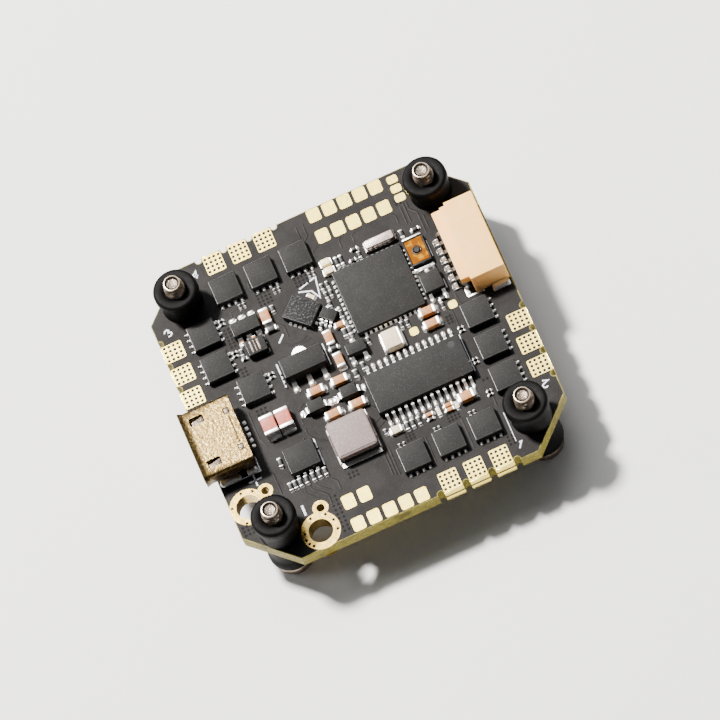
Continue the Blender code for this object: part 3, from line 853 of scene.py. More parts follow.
def gull_wing(shape, x, y, facing, width, reach, knee, thick=0.14):
    """A bent lead from a body's side at (x, y) down to its foot, facing degrees from +X."""
    outline = [
        (-0.06, knee), (-0.06, knee + thick), (reach * 0.28, knee + thick),
        (reach * 0.42, knee + thick * 0.55), (reach * 0.62, thick + 0.07), (reach * 0.74, thick),
        (reach, thick * 0.9), (reach, 0.0), (reach * 0.66, 0.0), (reach * 0.5, 0.08),
        (reach * 0.3, knee - thick * 0.1), (reach * 0.22, knee),
    ]
    shape.profile_prism(outline, width, at(x, y, SEAT, facing))


def solder_foot(shape, x, y, length, width, height, turn):
    """Solder wetted round the end of a lead: a low, lumpy dome."""
    shape.dome(length, width, height, at(x, y, SEAT, turn + draw.uniform(-4, 4)))


def lead_row(shape, node, turn, places, lead, size, inset=0.0, half=None, bead=None, lump=0.0):
    """Leads at places along the side of a CAD node that faces turn degrees from +X.

    Each is made by the function lead from its size, inset from the side, or half from the middle. The
    bead is its solder's distance from the lead's start, length, width and height, lump at most added."""
    low, high = millimetres(node)
    angle = math.radians(turn)
    ahead = Vector((math.cos(angle), math.sin(angle)))
    across = Vector((-ahead.y, ahead.x))
    if half is None:
        half = (high.x - low.x) / 2 if abs(ahead.x) > 0.5 else (high.y - low.y) / 2
    for place in places:
        spot = ((low + high) / 2).to_2d() + ahead * (half - inset) + across * place
        lead(shape, spot.x, spot.y, turn, *size)
        if bead:
            away, length, width, height = bead
            foot = spot + ahead * away
            if lump:
                height += draw.uniform(0, lump)
            solder_foot(shape, foot.x, foot.y, length, width, height, turn)


def edge_pad(shape, x, y, facing, width, reach, height):
    """A leadless chip's pad: tin that climbs a little way up the chip's side at (x, y)."""
    outline = [
        (-0.04, 0.0), (-0.04, height), (0.03, height), (reach * 0.35, height * 0.55),
        (reach * 0.75, height * 0.3), (reach, 0.03), (reach, 0.0),
    ]
    shape.profile_prism(outline, width, at(x, y, TINNED, facing))


FETS = [f"mosfet_{side}_{n}" for side in ("top", "left", "right", "bottom") for n in (1, 2, 3)]
OUTWARDS = {"top": 90, "left": 180, "right": 0, "bottom": 270}

# sides whose solder shows, as degrees from the way the chip faces, and how wide each joint is
BEAD_SIDES = {
    "top": [(180, 0.32)],
    "left": [(180, 0.3), (0, 0.2)],
    "right": [(0, 0.27)],
    "bottom": [(0, 0.27)],
}


def make_mosfets():
    pins = Shape("tin")
    for node in FETS:
        package(node, edge=0.09, draft=0.02)
        side = node.split("_")[1]
        for turn, wide in BEAD_SIDES[side]:
            places = (-0.98, -0.33, 0.33, 0.98)
            bead = (0.24, 0.3, wide, 0.2)
            lead_row(pins, node, turn + OUTWARDS[side], places, edge_pad, (wide, 0.3, 0.12), bead=bead)
    pins.finish("mosfet_solder")


PACKAGES = [
    # node, rolled edge, dimple as x, y from the middle and radius
    ("main_processor", 0.05, None),
    ("display_overlay_chip", 0.05, (3.85, 1.4, 0.4)),
    ("linear_regulator", 0.07, None),
    ("power_switch", 0.06, None),
    ("buck_converter", 0.05, None),
    ("receiver_inverter", 0.05, None),
    ("buzzer_transistor", 0.06, None),
    ("input_diode", 0.06, None),
    ("usb_diode", 0.06, None),
    ("sensor_oscillator", 0.06, None),
]
DRIVE_CHIPS = [f"motor_drive_chip_{number}" for number in range(1, 5)]


def make_chip_bodies():
    for node, edge, mark in PACKAGES:
        package(node, edge, 0.06, mark)
    for node in DRIVE_CHIPS:
        size, middle, _ = standing(node)
        shape = Shape("moulding", "moulding_rim_highlight", "plastic")
        hung = Matrix.Translation((middle.x, middle.y, middle.z + size.z / 2)) @ FLIP
        moulded_block(shape, size.x, size.y, size.z, 0.06, 0.03, hung, (-1.4, 1.4, 0.22))
        shape.finish(node + "_body", replaces=[node])
    make_turned_chips()


def turned_body(node, material, width, depth, draft, mark=None):
    size, _, place = standing(node)
    place = place @ Matrix.Rotation(math.radians(TURNED), 4, "Z")
    shape = Shape(material, "moulding_rim_highlight", "plastic")
    moulded_block(shape, width, depth, size.z, 0.05, draft, place, mark)
    shape.finish(node + "_body", replaces=[node])


def make_turned_chips():
    """The two chips that stand at 45 degrees. Their nodes' boxes are wider than they are."""
    turned_body("gyro_sensor", "sensor_moulding", 2.5, 3.0, 0.01, (0.85, 1.15, 0.13))
    pads = Shape("tin")
    for side, count, half in ((0, 4, 1.25), (180, 4, 1.25), (90, 3, 1.5), (270, 3, 1.5)):
        places = centred(count, FINE_PITCH)
        lead_row(pads, "gyro_sensor", side + TURNED, places, edge_pad, (0.28, 0.22, 0.2), half=half)
    turned_body("gyro_regulator", "moulding", 1.2, 1.6, 0.03)
    wing, bead = (0.26, 0.42, 0.2, 0.1), (0.42, 0.3, 0.36, 0.14)
    for side, places in ((0, (-0.48, 0.48)), (180, (-0.48, 0.0, 0.48))):
        lead_row(pads, "gyro_regulator", side + TURNED, places, gull_wing, wing, half=0.6, bead=bead)
    pads.finish("turned_chip_solder")


SMALL_LEADS = [
    # node, side, places along it, width, reach
    ("power_switch", 90, (0.92, 0.0, -0.95), 0.6, 0.66),
    ("power_switch", 270, (-0.92, 0.0, 0.95), 0.5, 0.62),
    ("buzzer_transistor", 90, (0.05,), 0.42, 0.55),
    ("buzzer_transistor", 270, (-0.68, 0.64), 0.42, 0.55),
    ("receiver_inverter", 270, (-0.62, 0.68), 0.34, 0.5),
    ("receiver_inverter", 90, (0.0,), 0.34, 0.5),
    ("input_diode", 180, (0.0,), 0.62, 0.62),
    ("input_diode", 0, (0.0,), 0.62, 0.62),
    ("usb_diode", 180, (0.0,), 0.62, 0.62),
    ("usb_diode", 0, (0.0,), 0.62, 0.62),
]


def make_leads():
    leads = Shape("tin")
    wing, bead = (0.27, 1.0, 0.42), (1.04, 0.62, 0.41, 0.16)
    for turn, pitch in ((270, LEAD_PITCH), (90, -LEAD_PITCH)):
        places = centred(14, pitch)
        lead_row(leads, "display_overlay_chip", turn, places, gull_wing, wing, 0.03, None, bead, 0.05)
    places, bead = centred(4, LEAD_PITCH), (0.18, 0.3, 0.34, 0.22)
    lead_row(leads, "buck_converter", 270, places, edge_pad, (0.3, 0.34, 0.25), bead=bead)
    leads.finish("fine_leads")
    pads = Shape("tin")
    places, bead = centred(12, FINE_PITCH), (0.16, 0.26, 0.24, 0.13)
    for turn in (0, 90, 180, 270):
        lead_row(pads, "main_processor", turn, places, edge_pad, (0.25, 0.3, 0.2), 0.04, bead=bead)
    pads.finish("processor_solder")
    make_small_leads()


def make_small_leads():
    """Leads of the transistors, diodes and regulators."""
    shape = Shape("tin")
    for node, turn, places, width, reach in SMALL_LEADS:
        bead = (reach + 0.02, 0.5, width + 0.2, 0.2)
        lead_row(shape, node, turn, places, gull_wing, (width, reach, 0.34), 0.02, bead=bead)
    node, wing, bead = "linear_regulator", (0.48, 0.85, 0.3, 0.2), (0.85, 0.7, 0.74, 0.24)
    lead_row(shape, node, 270, (-1.55, -0.02, 1.5), gull_wing, wing, 0.02, bead=bead)
    low, high = millimetres(node)
    tab = [(0.9 * math.cos(math.pi * i / 16), 1.18 * math.sin(math.pi * i / 16)) for i in range(17)]
    loops = [[(x * s, y * s, z) for x, y in tab] for s, z in ((1.0, 0.0), (1.0, 0.2), (0.93, 0.27))]
    shape.skin(loops, at((low.x + high.x) / 2 + 0.02, high.y - 0.02, SEAT))
    shape.finish("small_leads")


# ------------------------------------------------------------------ passives

CERAMIC_KINDS = ["tan_ceramic", "dark_ceramic", "cream_ceramic"]
CAPACITOR, RESISTOR, PALE = range(3)
HEIGHTS = (0.74, 0.72, 0.52)  # of each kind, as a share of its width
PASSIVE_GROUPS = [
    # kind, then x, y, length, width and degrees of turn of each
    (CAPACITOR, [
        (7.9, 1.3, 1.65, 0.85, 0), (7.85, -0.05, 1.65, 0.85, 0), (8.0, -8.4, 1.65, 0.95, 0),
        (-4.55, -1.45, 1.65, 0.85, 0), (-2.15, -1.45, 1.65, 0.85, 0), (-3.9, -4.4, 1.65, 0.85, 0),
        (-1.45, -4.4, 1.65, 0.85, 0), (-6.12, 7.75, 1.65, 0.95, 90), (-1.5, 3.0, 1.55, 0.85, 90),
        (-1.45, 0.45, 1.55, 0.85, 90), (-0.02, 3.85, 1.05, 0.58, 0), (4.1, -8.42, 0.95, 0.42, 0),
        (6.12, -8.3, 0.92, 0.42, 0), (6.12, -8.8, 0.92, 0.42, 0), (-9.1, 6.55, 0.6, 0.42, 90),
        (-7.9, 6.25, 0.6, 0.42, 90),
    ]),
    (PALE, [
        (0.8, -8.5, 1.2, 0.8, 0), (5.05, -8.55, 0.85, 0.42, 90), (6.85, -8.7, 0.7, 0.4, 90),
    ]),
    (RESISTOR, [
        (-5.25, 8.3, 0.78, 0.42, 90), (-6.05, 6.4, 1.1, 0.55, 0), (0.05, 2.9, 0.9, 0.45, 90),
        (0.55, 2.9, 0.9, 0.45, 90), (-1.45, 1.95, 0.9, 0.45, 0), (-10.3, -6.6, 0.95, 0.42, 90),
        (2.03, 10.0, 1.05, 0.36, 90), (2.48, 10.0, 1.05, 0.36, 90), (4.0, 10.52, 0.68, 0.36, 0),
        (4.22, 9.72, 0.72, 0.36, 90), (3.5, 9.5, 0.62, 0.34, 0), (8.6, 9.85, 0.85, 0.42, 90),
        (9.98, 9.78, 0.8, 0.36, 0), (9.42, 1.3, 0.7, 0.36, 90), (9.75, 1.95, 0.8, 0.36, 0),
        (5.2, 1.2, 0.7, 0.34, 90), (5.75, 1.2, 0.7, 0.34, 90), (1.75, 1.2, 0.7, 0.34, 90),
        (1.2, 1.2, 0.7, 0.34, 90), (-0.55, -1.5, 0.9, 0.5, 90), (0.35, -1.0, 0.8, 0.4, 90),
        (-0.2, 8.28, 0.68, 0.34, 90), (0.35, 8.28, 0.68, 0.34, 90), (-0.15, 7.28, 0.68, 0.34, 90),
        (0.35, 7.28, 0.68, 0.34, 90), (-0.15, 6.3, 0.68, 0.34, 90), (0.42, 4.85, 0.8, 0.4, 90),
        (-1.65, 4.6, 0.7, 0.36, 45), (1.85, -8.55, 0.85, 0.38, 90), (2.42, -8.55, 0.85, 0.38, 90),
        (3.05, -8.55, 0.85, 0.38, 90), (-0.2, -8.2, 0.6, 0.32, 90), (4.15, -8.88, 0.62, 0.32, 0),
        (-9.5, 5.45, 0.72, 0.36, 90), (-7.15, 6.3, 0.78, 0.4, 90), (-9.45, 4.75, 0.5, 0.36, 0),
        (-7.15, 5.0, 0.8, 0.4, 90), (-8.4, 6.25, 0.6, 0.34, 90),
    ]),
    (PALE, [(-1.45, 7.85, 0.8, 0.42, -50)]),
    (RESISTOR, [(10.15, 5.3, 0.7, 0.36, 90)]),
]
ROW_BY_BATTERY = (-10.3, -9.82, -9.3, -8.68, -8.0, -7.38, -6.78)
PASSIVES = [(kind, *row) for kind, rows in PASSIVE_GROUPS for row in rows]
PASSIVES += [(RESISTOR, x, -9.3, 0.86, 0.4, 90) for x in ROW_BY_BATTERY]


def gate_resistors():
    """Two small resistors by the gate of each power transistor, on its side away from the edge."""
    found = []
    for node in FETS:
        low, high = millimetres(node)
        side = node.split("_")[1]
        middle = (low + high) / 2
        if side == "top":
            spots = [(middle.x + 0.48, low.y - 0.8, 90), (middle.x + 0.95, low.y - 0.8, 90)]
        elif side == "bottom":
            spots = [(middle.x - 0.82, high.y + 0.42, 90), (middle.x - 0.38, high.y + 0.42, 90)]
        elif side == "left":
            spots = [(high.x + 0.62, middle.y + 0.86, 0), (high.x + 0.62, middle.y + 0.42, 0)]
        else:
            spots = [(low.x - 0.62, middle.y - 0.92, 0), (low.x - 0.62, middle.y - 0.5, 0)]
        found += [(RESISTOR, x, y, 0.44, 0.27, turn) for x, y, turn in spots]
    return found


def make_passives(places, level, name, flip=False):
    """Ceramic bodies between tinned ends, each end in its solder, on one face of the board."""
    bodies = Shape(*CERAMIC_KINDS)
    ends = Shape("tin")
    for kind, x, y, length, width, turn in places:
        turn += draw.uniform(-2.0, 2.0)
        x += draw.uniform(-0.015, 0.015)
        y += draw.uniform(-0.015, 0.015)
        height = width * HEIGHTS[kind]
        cap = length * 0.2
        place = at(x, y, level, turn)
        if flip:
            place = place @ FLIP
        lift = 0.035
        raised = place @ Matrix.Translation((0, 0, lift))
        edge = min(0.06, width * 0.14)
        bodies.slab(length - 0.04, width - 0.04, 0.0, height - 0.02, 0.04, edge, raised, kind)
        for side in (-1, 1):
            shift = Matrix.Translation((side * (length - cap) / 2, 0, lift))
            ends.slab(cap, width, 0.0, height, width * 0.14, edge * 1.3, place @ shift)
            foot = Matrix.Translation((side * (length / 2 + 0.02), 0, 0))
            ends.dome(cap + 0.14, width * 1.04, height * 0.4, place @ foot)
    bodies.finish(name + "_bodies")
    ends.finish(name + "_ends")


def make_bulk_capacitors():
    for node in ("bulk_capacitor_1", "bulk_capacitor_2"):
        size, middle, place = standing(node)
        body = Shape("pink_ceramic", "tin")
        body.slab(size.x - 0.05, size.y - 0.06, 0, size.z - 0.03, 0.06, 0.09, place, 0)
        cap = 0.42
        for side in (-1, 1):
            shift = Matrix.Translation((0, side * (size.y - cap) / 2, 0))
            body.slab(size.x, cap, 0, size.z, 0.1, 0.1, place @ shift, 1)
            foot = at(middle.x, middle.y + side * (size.y / 2 + 0.02), SEAT)
            body.dome(size.x * 1.02, 0.55, 0.4, foot, 1)
        body.finish(node + "_body", replaces=[node])


def make_chip_inductor():
    size, middle, place = standing("chip_inductor")
    body = Shape("cream_ceramic", "tin")
    body.slab(size.x - 0.5, size.y, 0, size.z, 0.06, 0.07, place, 0)
    for side in (-1, 1):
        shift = Matrix.Translation((side * (size.x - 0.26) / 2, 0, 0))
        body.slab(0.26, size.y - 0.02, 0, size.z - 0.12, 0.06, 0.07, place @ shift, 1)
        foot = at(middle.x + side * (size.x / 2), middle.y, SEAT)
        body.dome(0.3, size.y, 0.25, foot, 1)
    body.finish("chip_inductor_body", replaces=["chip_inductor"])


def make_leds():
    for node in ("status_led_1", "status_led_2"):
        size, _, place = standing(node)
        body = Shape("cream_ceramic", "led_lens", "tin")
        body.slab(size.x, size.y, 0, size.z * 0.45, 0.05, 0.03, place, 0)
        body.slab(size.x * 0.72, size.y - 0.04, size.z * 0.4, size.z, 0.1, 0.09, place, 1)
        for side in (-1, 1):
            shift = Matrix.Translation((side * (size.x / 2 - 0.07), 0, 0))
            body.slab(0.16, size.y + 0.02, 0, size.z * 0.5, 0.04, 0.04, place @ shift, 2)
        body.finish(node + "_body", replaces=[node])


def make_crystal():
    size, _, place = standing("crystal")
    body = Shape("lid", "plastic", "tin")
    body.slab(size.x, size.y, 0, 0.3, 0.12, 0.03, place, 1)
    body.slab(size.x - 0.08, size.y - 0.08, 0.24, 0.36, 0.16, 0.03, place, 0)
    body.slab(size.x - 0.24, size.y - 0.22, 0.3, size.z, 0.22, 0.12, place, 0, 4)
    for side in (-1, 1):
        shift = Matrix.Translation((side * (size.x / 2 - 0.12), 0, 0))
        body.slab(0.28, size.y - 0.1, 0, 0.22, 0.04, 0.04, place @ shift, 2)
    body.finish("crystal_body", replaces=["crystal"])


def make_power_inductor():
    size, middle, place = standing("power_inductor")
    block = Shape("powder", "tin", "plastic")
    side = size.x - 0.34
    block.slab(side, side, 0.85, size.z, 0.34, 0.16, place, 0, 5)
    block.slab(side - 0.1, side - 0.1, 0.1, 0.9, 0.3, 0.01, place, 2)
    block.slab(size.x, size.y - 0.05, 0, 0.16, 0.3, 0.03, place, 0)
    for turn in (0, 180):
        spun = place @ Matrix.Rotation(math.radians(turn), 4, "Z")
        clip = [
            (side / 2 + 0.015, 0.1), (side / 2 + 0.1, 0.1), (side / 2 + 0.13, 0.2),
            (side / 2 + 0.11, 0.92), (side / 2 + 0.04, 1.0), (side / 2 + 0.0, 0.96),
        ]
        block.profile_prism(clip, 2.0, spun, 1)
        block.profile_prism([(p[0] - 0.02, p[1] * 0.35) for p in clip], size.y - 0.5, spun, 1)
    for turn in (90, 270):
        spun = place @ Matrix.Rotation(math.radians(turn), 4, "Z")
        inner, outer = side / 2 - 0.1, size.x / 2 + 0.2
        lip = [(inner, 0.02), (outer, 0.02), (outer, 0.16), (inner, 0.2)]
        block.profile_prism(lip, size.y - 0.3, spun, 1)
    # The black strip on the top stands in for the groove there; its darkness is painted shade.
    groove = side / 2 - 0.22
    line = [(middle.x - groove, middle.y - groove), (middle.x + groove, middle.y - groove)]
    top = middle.z + size.z / 2
    block.ribbon(line, 0.1, top - 0.01, top + 0.004, 2)
    block.finish("power_inductor_body", replaces=["power_inductor"])


def make_oscillator_bands():
    low, high = millimetres("sensor_oscillator")
    middle = (low + high) / 2
    bands = Shape("dark_steel")
    for offset, width in ((-0.42, 0.16), (-0.05, 0.1), (0.3, 0.2)):
        place = at(middle.x + offset, middle.y)
        bands.slab(width, high.y - low.y - 0.5, high.z, high.z + 0.01, 0.03, 0.004, place)
    bands.finish("oscillator_bands")


# ------------------------------------------------------------------ sockets and button


USB_WINDOWS = [
    # windows for the latches and for the small stamps: x, distance from the middle, length, width
    (-15.8, 2.35, 1.4, 0.8),
    (-12.92, 2.0, 0.6, 0.66),
]


def usb_outline(grow, x, middle_y, size):
    """The shell's section at one x: flat roof, round shoulders, and a floor narrower than the roof."""
    half_top = size.y / 2 - 0.18 + grow
    half_floor = half_top - 1.0
    roof = size.z - 0.18 + grow
    floor = 0.16 - min(grow, 0.14)
    bend = 0.32 + grow * 0.5
    points = []
    for step in range(7):
        angle = math.pi / 2 * step / 6
        points.append((half_top - bend + bend * math.cos(angle), roof - bend + bend * math.sin(angle)))
    left = [(-y, z) for y, z in reversed(points)]
    waist = 1.2
    lower_left = [
        (-half_top, waist), (-half_top + 0.1, waist - 0.2),
        (-half_floor - 0.1, floor + 0.1), (-half_floor, floor),
    ]
    lower_right = [(-y, z) for y, z in reversed(lower_left)]
    ordered = points + left + lower_left + lower_right
    return [(x, middle_y + y, z) for y, z in ordered]


def make_usb_socket():
    low, high = millimetres("usb_shell")
    size = high - low
    middle_y = (low.y + high.y) / 2
    wall = 0.26
    lip = 0.16
    shell = Shape("gilt")
    sections = [
        (0.0, high.x), (0.0, low.x + 0.55), (0.05, low.x + 0.35), (lip, low.x + 0.06), (lip - 0.03, low.x),
        (lip - wall + 0.05, low.x), (lip - wall, low.x + 0.06), (0.05 - wall, low.x + 0.35),
        (-wall, low.x + 0.55), (-wall, high.x),
    ]
    loops = [usb_outline(grow, x, middle_y, size) for grow, x in sections]
    shell.skin(loops, at(0, 0, low.z), closed=True)
    cutters = []
    for side in (-1, 1):
        for x, across, length, width in USB_WINDOWS:
            place = at(x, middle_y + side * across)
            cutters.append(plate("gilt", length, width, high.z - 0.7, high.z + 1, 0.08, 0.01, place))
    combine(shell, cutters, "DIFFERENCE")
    shell.finish("usb_shell_stamping", replaces=["usb_shell"], smooth=28)
    make_usb_details(high, middle_y)


def make_usb_details(high, middle_y):
    springs = Shape("dark_steel", "tin", "gilt")
    roof = high.z - 0.18
    for side in (-1, 1):
        y = middle_y + side * 2.35
        tongue = [(-0.55, -0.62), (-0.55, -0.5), (0.2, -0.34), (0.6, -0.14), (0.62, -0.26), (0.25, -0.46)]
        springs.profile_prism(tongue, 0.5, at(-15.8, y, roof), 0)
        springs.slab(0.46, 0.52, -0.14, -0.03, 0.04, 0.03, at(-12.9, middle_y + side * 2.0, roof), 0)
    springs.slab(0.34, 3.1, -0.01, 0.04, 0.12, 0.03, at(-12.95, middle_y, roof), 2)
    for side in (-1, 1):
        for x, length in ((-15.15, 1.9), (-12.95, 0.9)):
            y = middle_y + side * 3.42
            springs.slab(length, 0.7, TINNED, TOP + 0.24, 0.12, 0.05, at(x, y + side * 0.06), 1)
            springs.dome(length + 0.25, 0.9, 0.34, at(x, y + side * 0.1, TOP + 0.015), 1)
    springs.finish("usb_springs_and_tabs")
    pins = Shape("tin", "plastic")
    for across in centred(5, LEAD_PITCH):
        y = middle_y + across
        pins.slab(0.62, 0.34, TINNED, TOP + 0.16, 0.05, 0.04, at(high.x + 0.2, y), 0)
        pins.dome(0.55, 0.42, 0.2, at(high.x + 0.28, y, TINNED), 0)
    pins.slab(0.3, 4.2, SEAT, SEAT + 1.0, 0.05, 0.05, at(high.x + 0.02, middle_y), 1)
    pins.finish("usb_rear_pins")
    blades = Shape("gold")
    for across in centred(5, LEAD_PITCH):
        y = middle_y + across
        blades.slab(2.4, 0.3, SEAT + 1.9, SEAT + 1.95, 0.04, 0.02, at(-14.6, y))
    blades.finish("usb_contact_blades")


SOCKET_BACK = 12.8
LEDGE_WIDTH = 7.6
LEDGE_CENTRE_Y = 5.7
FIRST_CONTACT_Y = 2.52  # the other five follow at 1 mm


def make_signal_socket():
    low, high = millimetres("socket_housing")
    middle_y = (low.y + high.y) / 2
    back = SOCKET_BACK
    length = high.x - back
    body = Shape("nylon")
    body.slab(length, high.y - low.y, low.z, high.z, 0.1, 0.08, at(back + length / 2, middle_y), steps=3)
    place = at((back + low.x + 0.3) / 2, LEDGE_CENTRE_Y)
    ledge = plate("nylon", back - low.x + 0.3, LEDGE_WIDTH, low.z + 1.25, low.z + 2.2, 0.1, 0.08, place)
    combine(body, [ledge], "UNION")
    place = at(high.x - length / 2 + 0.55, middle_y)
    cuts = [
        # the cavity and the key's slot, then a gap and a notch for each contact
        (length, high.y - low.y - 0.9, low.z + 0.45, high.z - 0.45, 0.15, 0.1, place),
        (0.9, 0.5, low.z + 2.3, high.z + 1, 0.05, 0.01, at(back + 0.1, high.y - 0.1)),
    ]
    for index in range(6):
        y = FIRST_CONTACT_Y + index
        cuts.append((3.0, 0.42, low.z + 1.44, low.z + 1.7, 0.02, 0.01, at(back - 0.2, y)))
        cuts.append((0.5, 0.5, low.z - 1, low.z + 1.9, 0.02, 0.01, at(low.x - 0.12, y)))
    cutters = [plate("nylon", *cut) for cut in cuts]
    combine(body, cutters, "DIFFERENCE")
    body.finish("socket_housing_moulding", replaces=["socket_housing"], smooth=28)
    make_socket_solder()


def make_socket_solder():
    solder = Shape("tin")
    for index in range(6):
        low, high = millimetres(f"socket_contact_{index + 1}")
        y = (low.y + high.y) / 2
        x = low.x + 0.25
        for side in (-1, 1):
            solder.dome(0.86, 0.11, 0.26, at(x + 0.06, y + side * 0.27, TOP + 0.01))
        solder.dome(0.12, 0.64, 0.24, at(low.x - 0.1, y, TOP + 0.01))
    for label in ("near", "far"):
        low, high = millimetres(f"socket_anchor_{label}")
        middle = (low + high) / 2
        side = -1 if label == "near" else 1
        solder.slab(1.75, 0.75, TOP + 0.005, TOP + COPPER, 0.12, 0.015, at(middle.x, middle.y + side * 0.12))
        solder.dome(1.6, 0.5, 0.26, at(middle.x, middle.y + side * 0.22, TOP + COPPER * 0.9))
    solder.slab(0.42, 1.05, TOP + 0.005, TOP + COPPER + 0.06, 0.06, 0.03, at(12.05, 1.62))
    solder.slab(1.7, 0.2, TOP + 0.005, TOP + COPPER + 0.05, 0.06, 0.03, at(12.75, 1.08))
    solder.finish("socket_solder")


def make_boot_button():
    low, high = millimetres("boot_button_case")
    middle = (low + high) / 2
    size = high - low
    top_low, top_high = millimetres("boot_button_cover")
    dress("boot_button_case", "plastic")
    dress("boot_button_cover", "film")
    dress("boot_button_plunger", "plastic")
    dress("boot_button_dome", "tin")
    ends = Shape("tin", "plastic")
    for side in (-1, 1):
        y = middle.y + side * (size.y / 2 + 0.12)
        ends.slab(size.x - 0.08, 0.3, TINNED, TOP + 0.24, 0.06, 0.06, at(middle.x, y), 0)
        ends.dome(size.x - 0.1, 0.34, 0.16, at(middle.x, y + side * 0.12, TINNED), 0)
        rail = middle.x + side * 0.95
        ends.slab(0.14, size.y - 0.4, top_low.z, top_high.z + 0.03, 0.06, 0.05, at(rail, middle.y), 1)
        sill = middle.y + side * 1.36
        ends.slab(1.96, 0.2, top_low.z, top_high.z + 0.03, 0.06, 0.05, at(middle.x, sill), 1)
    # a black ring on the film round the plunger: painted shade of the film's dimple
    dimple_shade_ring = [(0.4, top_high.z), (0.4, top_high.z + 0.012), (0.48, top_high.z + 0.012), (0.51, top_high.z)]
    ends.turned(dimple_shade_ring, at(middle.x, middle.y), 1, closed=True)
    ends.finish("boot_button_ends")


# ------------------------------------------------------------------ dampers and screws


ARC_STEPS = 5


def arc(x, z, radius, start, end):
    """Points (x, z) on an arc, from start to end degrees."""
    turns = [math.radians(start + (end - start) * i / ARC_STEPS) for i in range(ARC_STEPS + 1)]
    return [(x + radius * math.cos(a), z + radius * math.sin(a)) for a in turns]


def make_dampers():
    for number, (sx, sy) in enumerate(CORNERS, 1):
        node = f"damper_{number}"
        low, high = millimetres(node)
        outer = (high.x - low.x) / 2
        waist, bore, rim, lip = outer - 0.2, 1.0, 0.34, 1.15
        profile = [(bore, low.z), (outer - rim, low.z)]
        profile += arc(outer - rim, low.z + rim, rim, -90, 0)
        profile += [
            (outer, low.z + lip - 0.2), (waist + 0.05, low.z + lip + 0.15), (waist, low.z + lip + 0.4),
            (waist, BOTTOM - 0.4), (waist + 0.05, BOTTOM - 0.1), (waist, BOTTOM - 0.02),
            (1.58, BOTTOM - 0.02), (1.58, TOP + 0.02), (waist, TOP + 0.02),
            (waist + 0.05, TOP + 0.1), (waist, TOP + 0.4), (waist, high.z - lip - 0.4),
            (waist + 0.05, high.z - lip - 0.15), (outer, high.z - lip + 0.2),
        ]
        profile += arc(outer - rim, high.z - rim, rim, 0, 90)
        profile += [
            (bore + 0.5, high.z - 0.02), (bore + 0.24, high.z - 0.05),
            (bore + 0.06, high.z - 0.16), (bore, high.z - 0.3),
        ]
        damper = Shape("rubber")
        damper.turned(profile, at(sx * HOLE_OFFSET, sy * HOLE_OFFSET), 0, 72, closed=True)
        damper.finish(node + "_moulding", replaces=[node], smooth=50)


SCREW_HEAD = 1.3
THREAD_RADIUS = 0.975
TIP_TAPER = 0.14


def make_screws():
    """M2 screws with a 0.4 mm thread, a hexagon socket below and a cup at the tip."""
    pitch, depth, steps = 0.4, 0.2, 36
    for number, (sx, sy) in enumerate(CORNERS, 1):
        node = f"screw_{number}"
        low, high = millimetres(node)
        place = at(sx * HOLE_OFFSET, sy * HOLE_OFFSET, 0, 40 * number)
        screw = Shape("steel", "dark_steel")
        head = [
            (0.66, 0.75), (0.66, 0.02), (0.74, 0.0), (1.75, 0.0), (1.9, 0.1),
            (1.9, 0.45), (1.84, 0.8), (1.66, 1.1), (1.4, 1.28), (0.99, SCREW_HEAD),
        ]
        loops = []
        for index, (radius, z) in enumerate(head):
            loop = []
            for step in range(steps):
                angle = 2 * math.pi * step / steps
                flat = 1.0
                if index < 2:
                    flat = math.cos(math.pi / 6) / math.cos((angle % (math.pi / 3)) - math.pi / 6)
                loop.append((radius * flat * math.cos(angle), radius * flat * math.sin(angle), low.z + z))
            loops.append(loop)
        shank = high.z - 0.25 - SCREW_HEAD
        rows = int(shank / (pitch / 5))
        for row in range(rows + 1):
            z = SCREW_HEAD + shank * row / rows
            loop = []
            for step in range(steps):
                angle = 2 * math.pi * step / steps
                phase = (z / pitch - step / steps) % 1.0
                crest = min(1.0, 2.4 * min(phase, 1 - phase))
                fade = min(1.0, row / 4)
                taper = TIP_TAPER * max(0.0, (z - high.z + 0.8) / 0.55)
                radius = THREAD_RADIUS - depth * fade * (1 - crest) - taper
                loop.append((radius * math.cos(angle), radius * math.sin(angle), z))
            loops.append(loop)
        for radius, z in ((0.82, high.z - 0.1), (0.78, high.z - 0.01), (0.7, high.z)):
            loops.append(ring(radius, z, steps))
        screw.skin(loops, place, 0, caps=(True, False))
        # the cup at the tip takes the darker steel: painted shade in the hollow
        cup = [(0.7, high.z), (0.6, high.z - 0.06), (0.5, high.z - 0.2), (0.18, high.z - 0.26)]
        screw.skin([ring(radius, z, steps) for radius, z in cup], place, 1, caps=(False, True))
        screw.finish(node + "_threaded", replaces=[node], smooth=30)


# ------------------------------------------------------------------ white ink


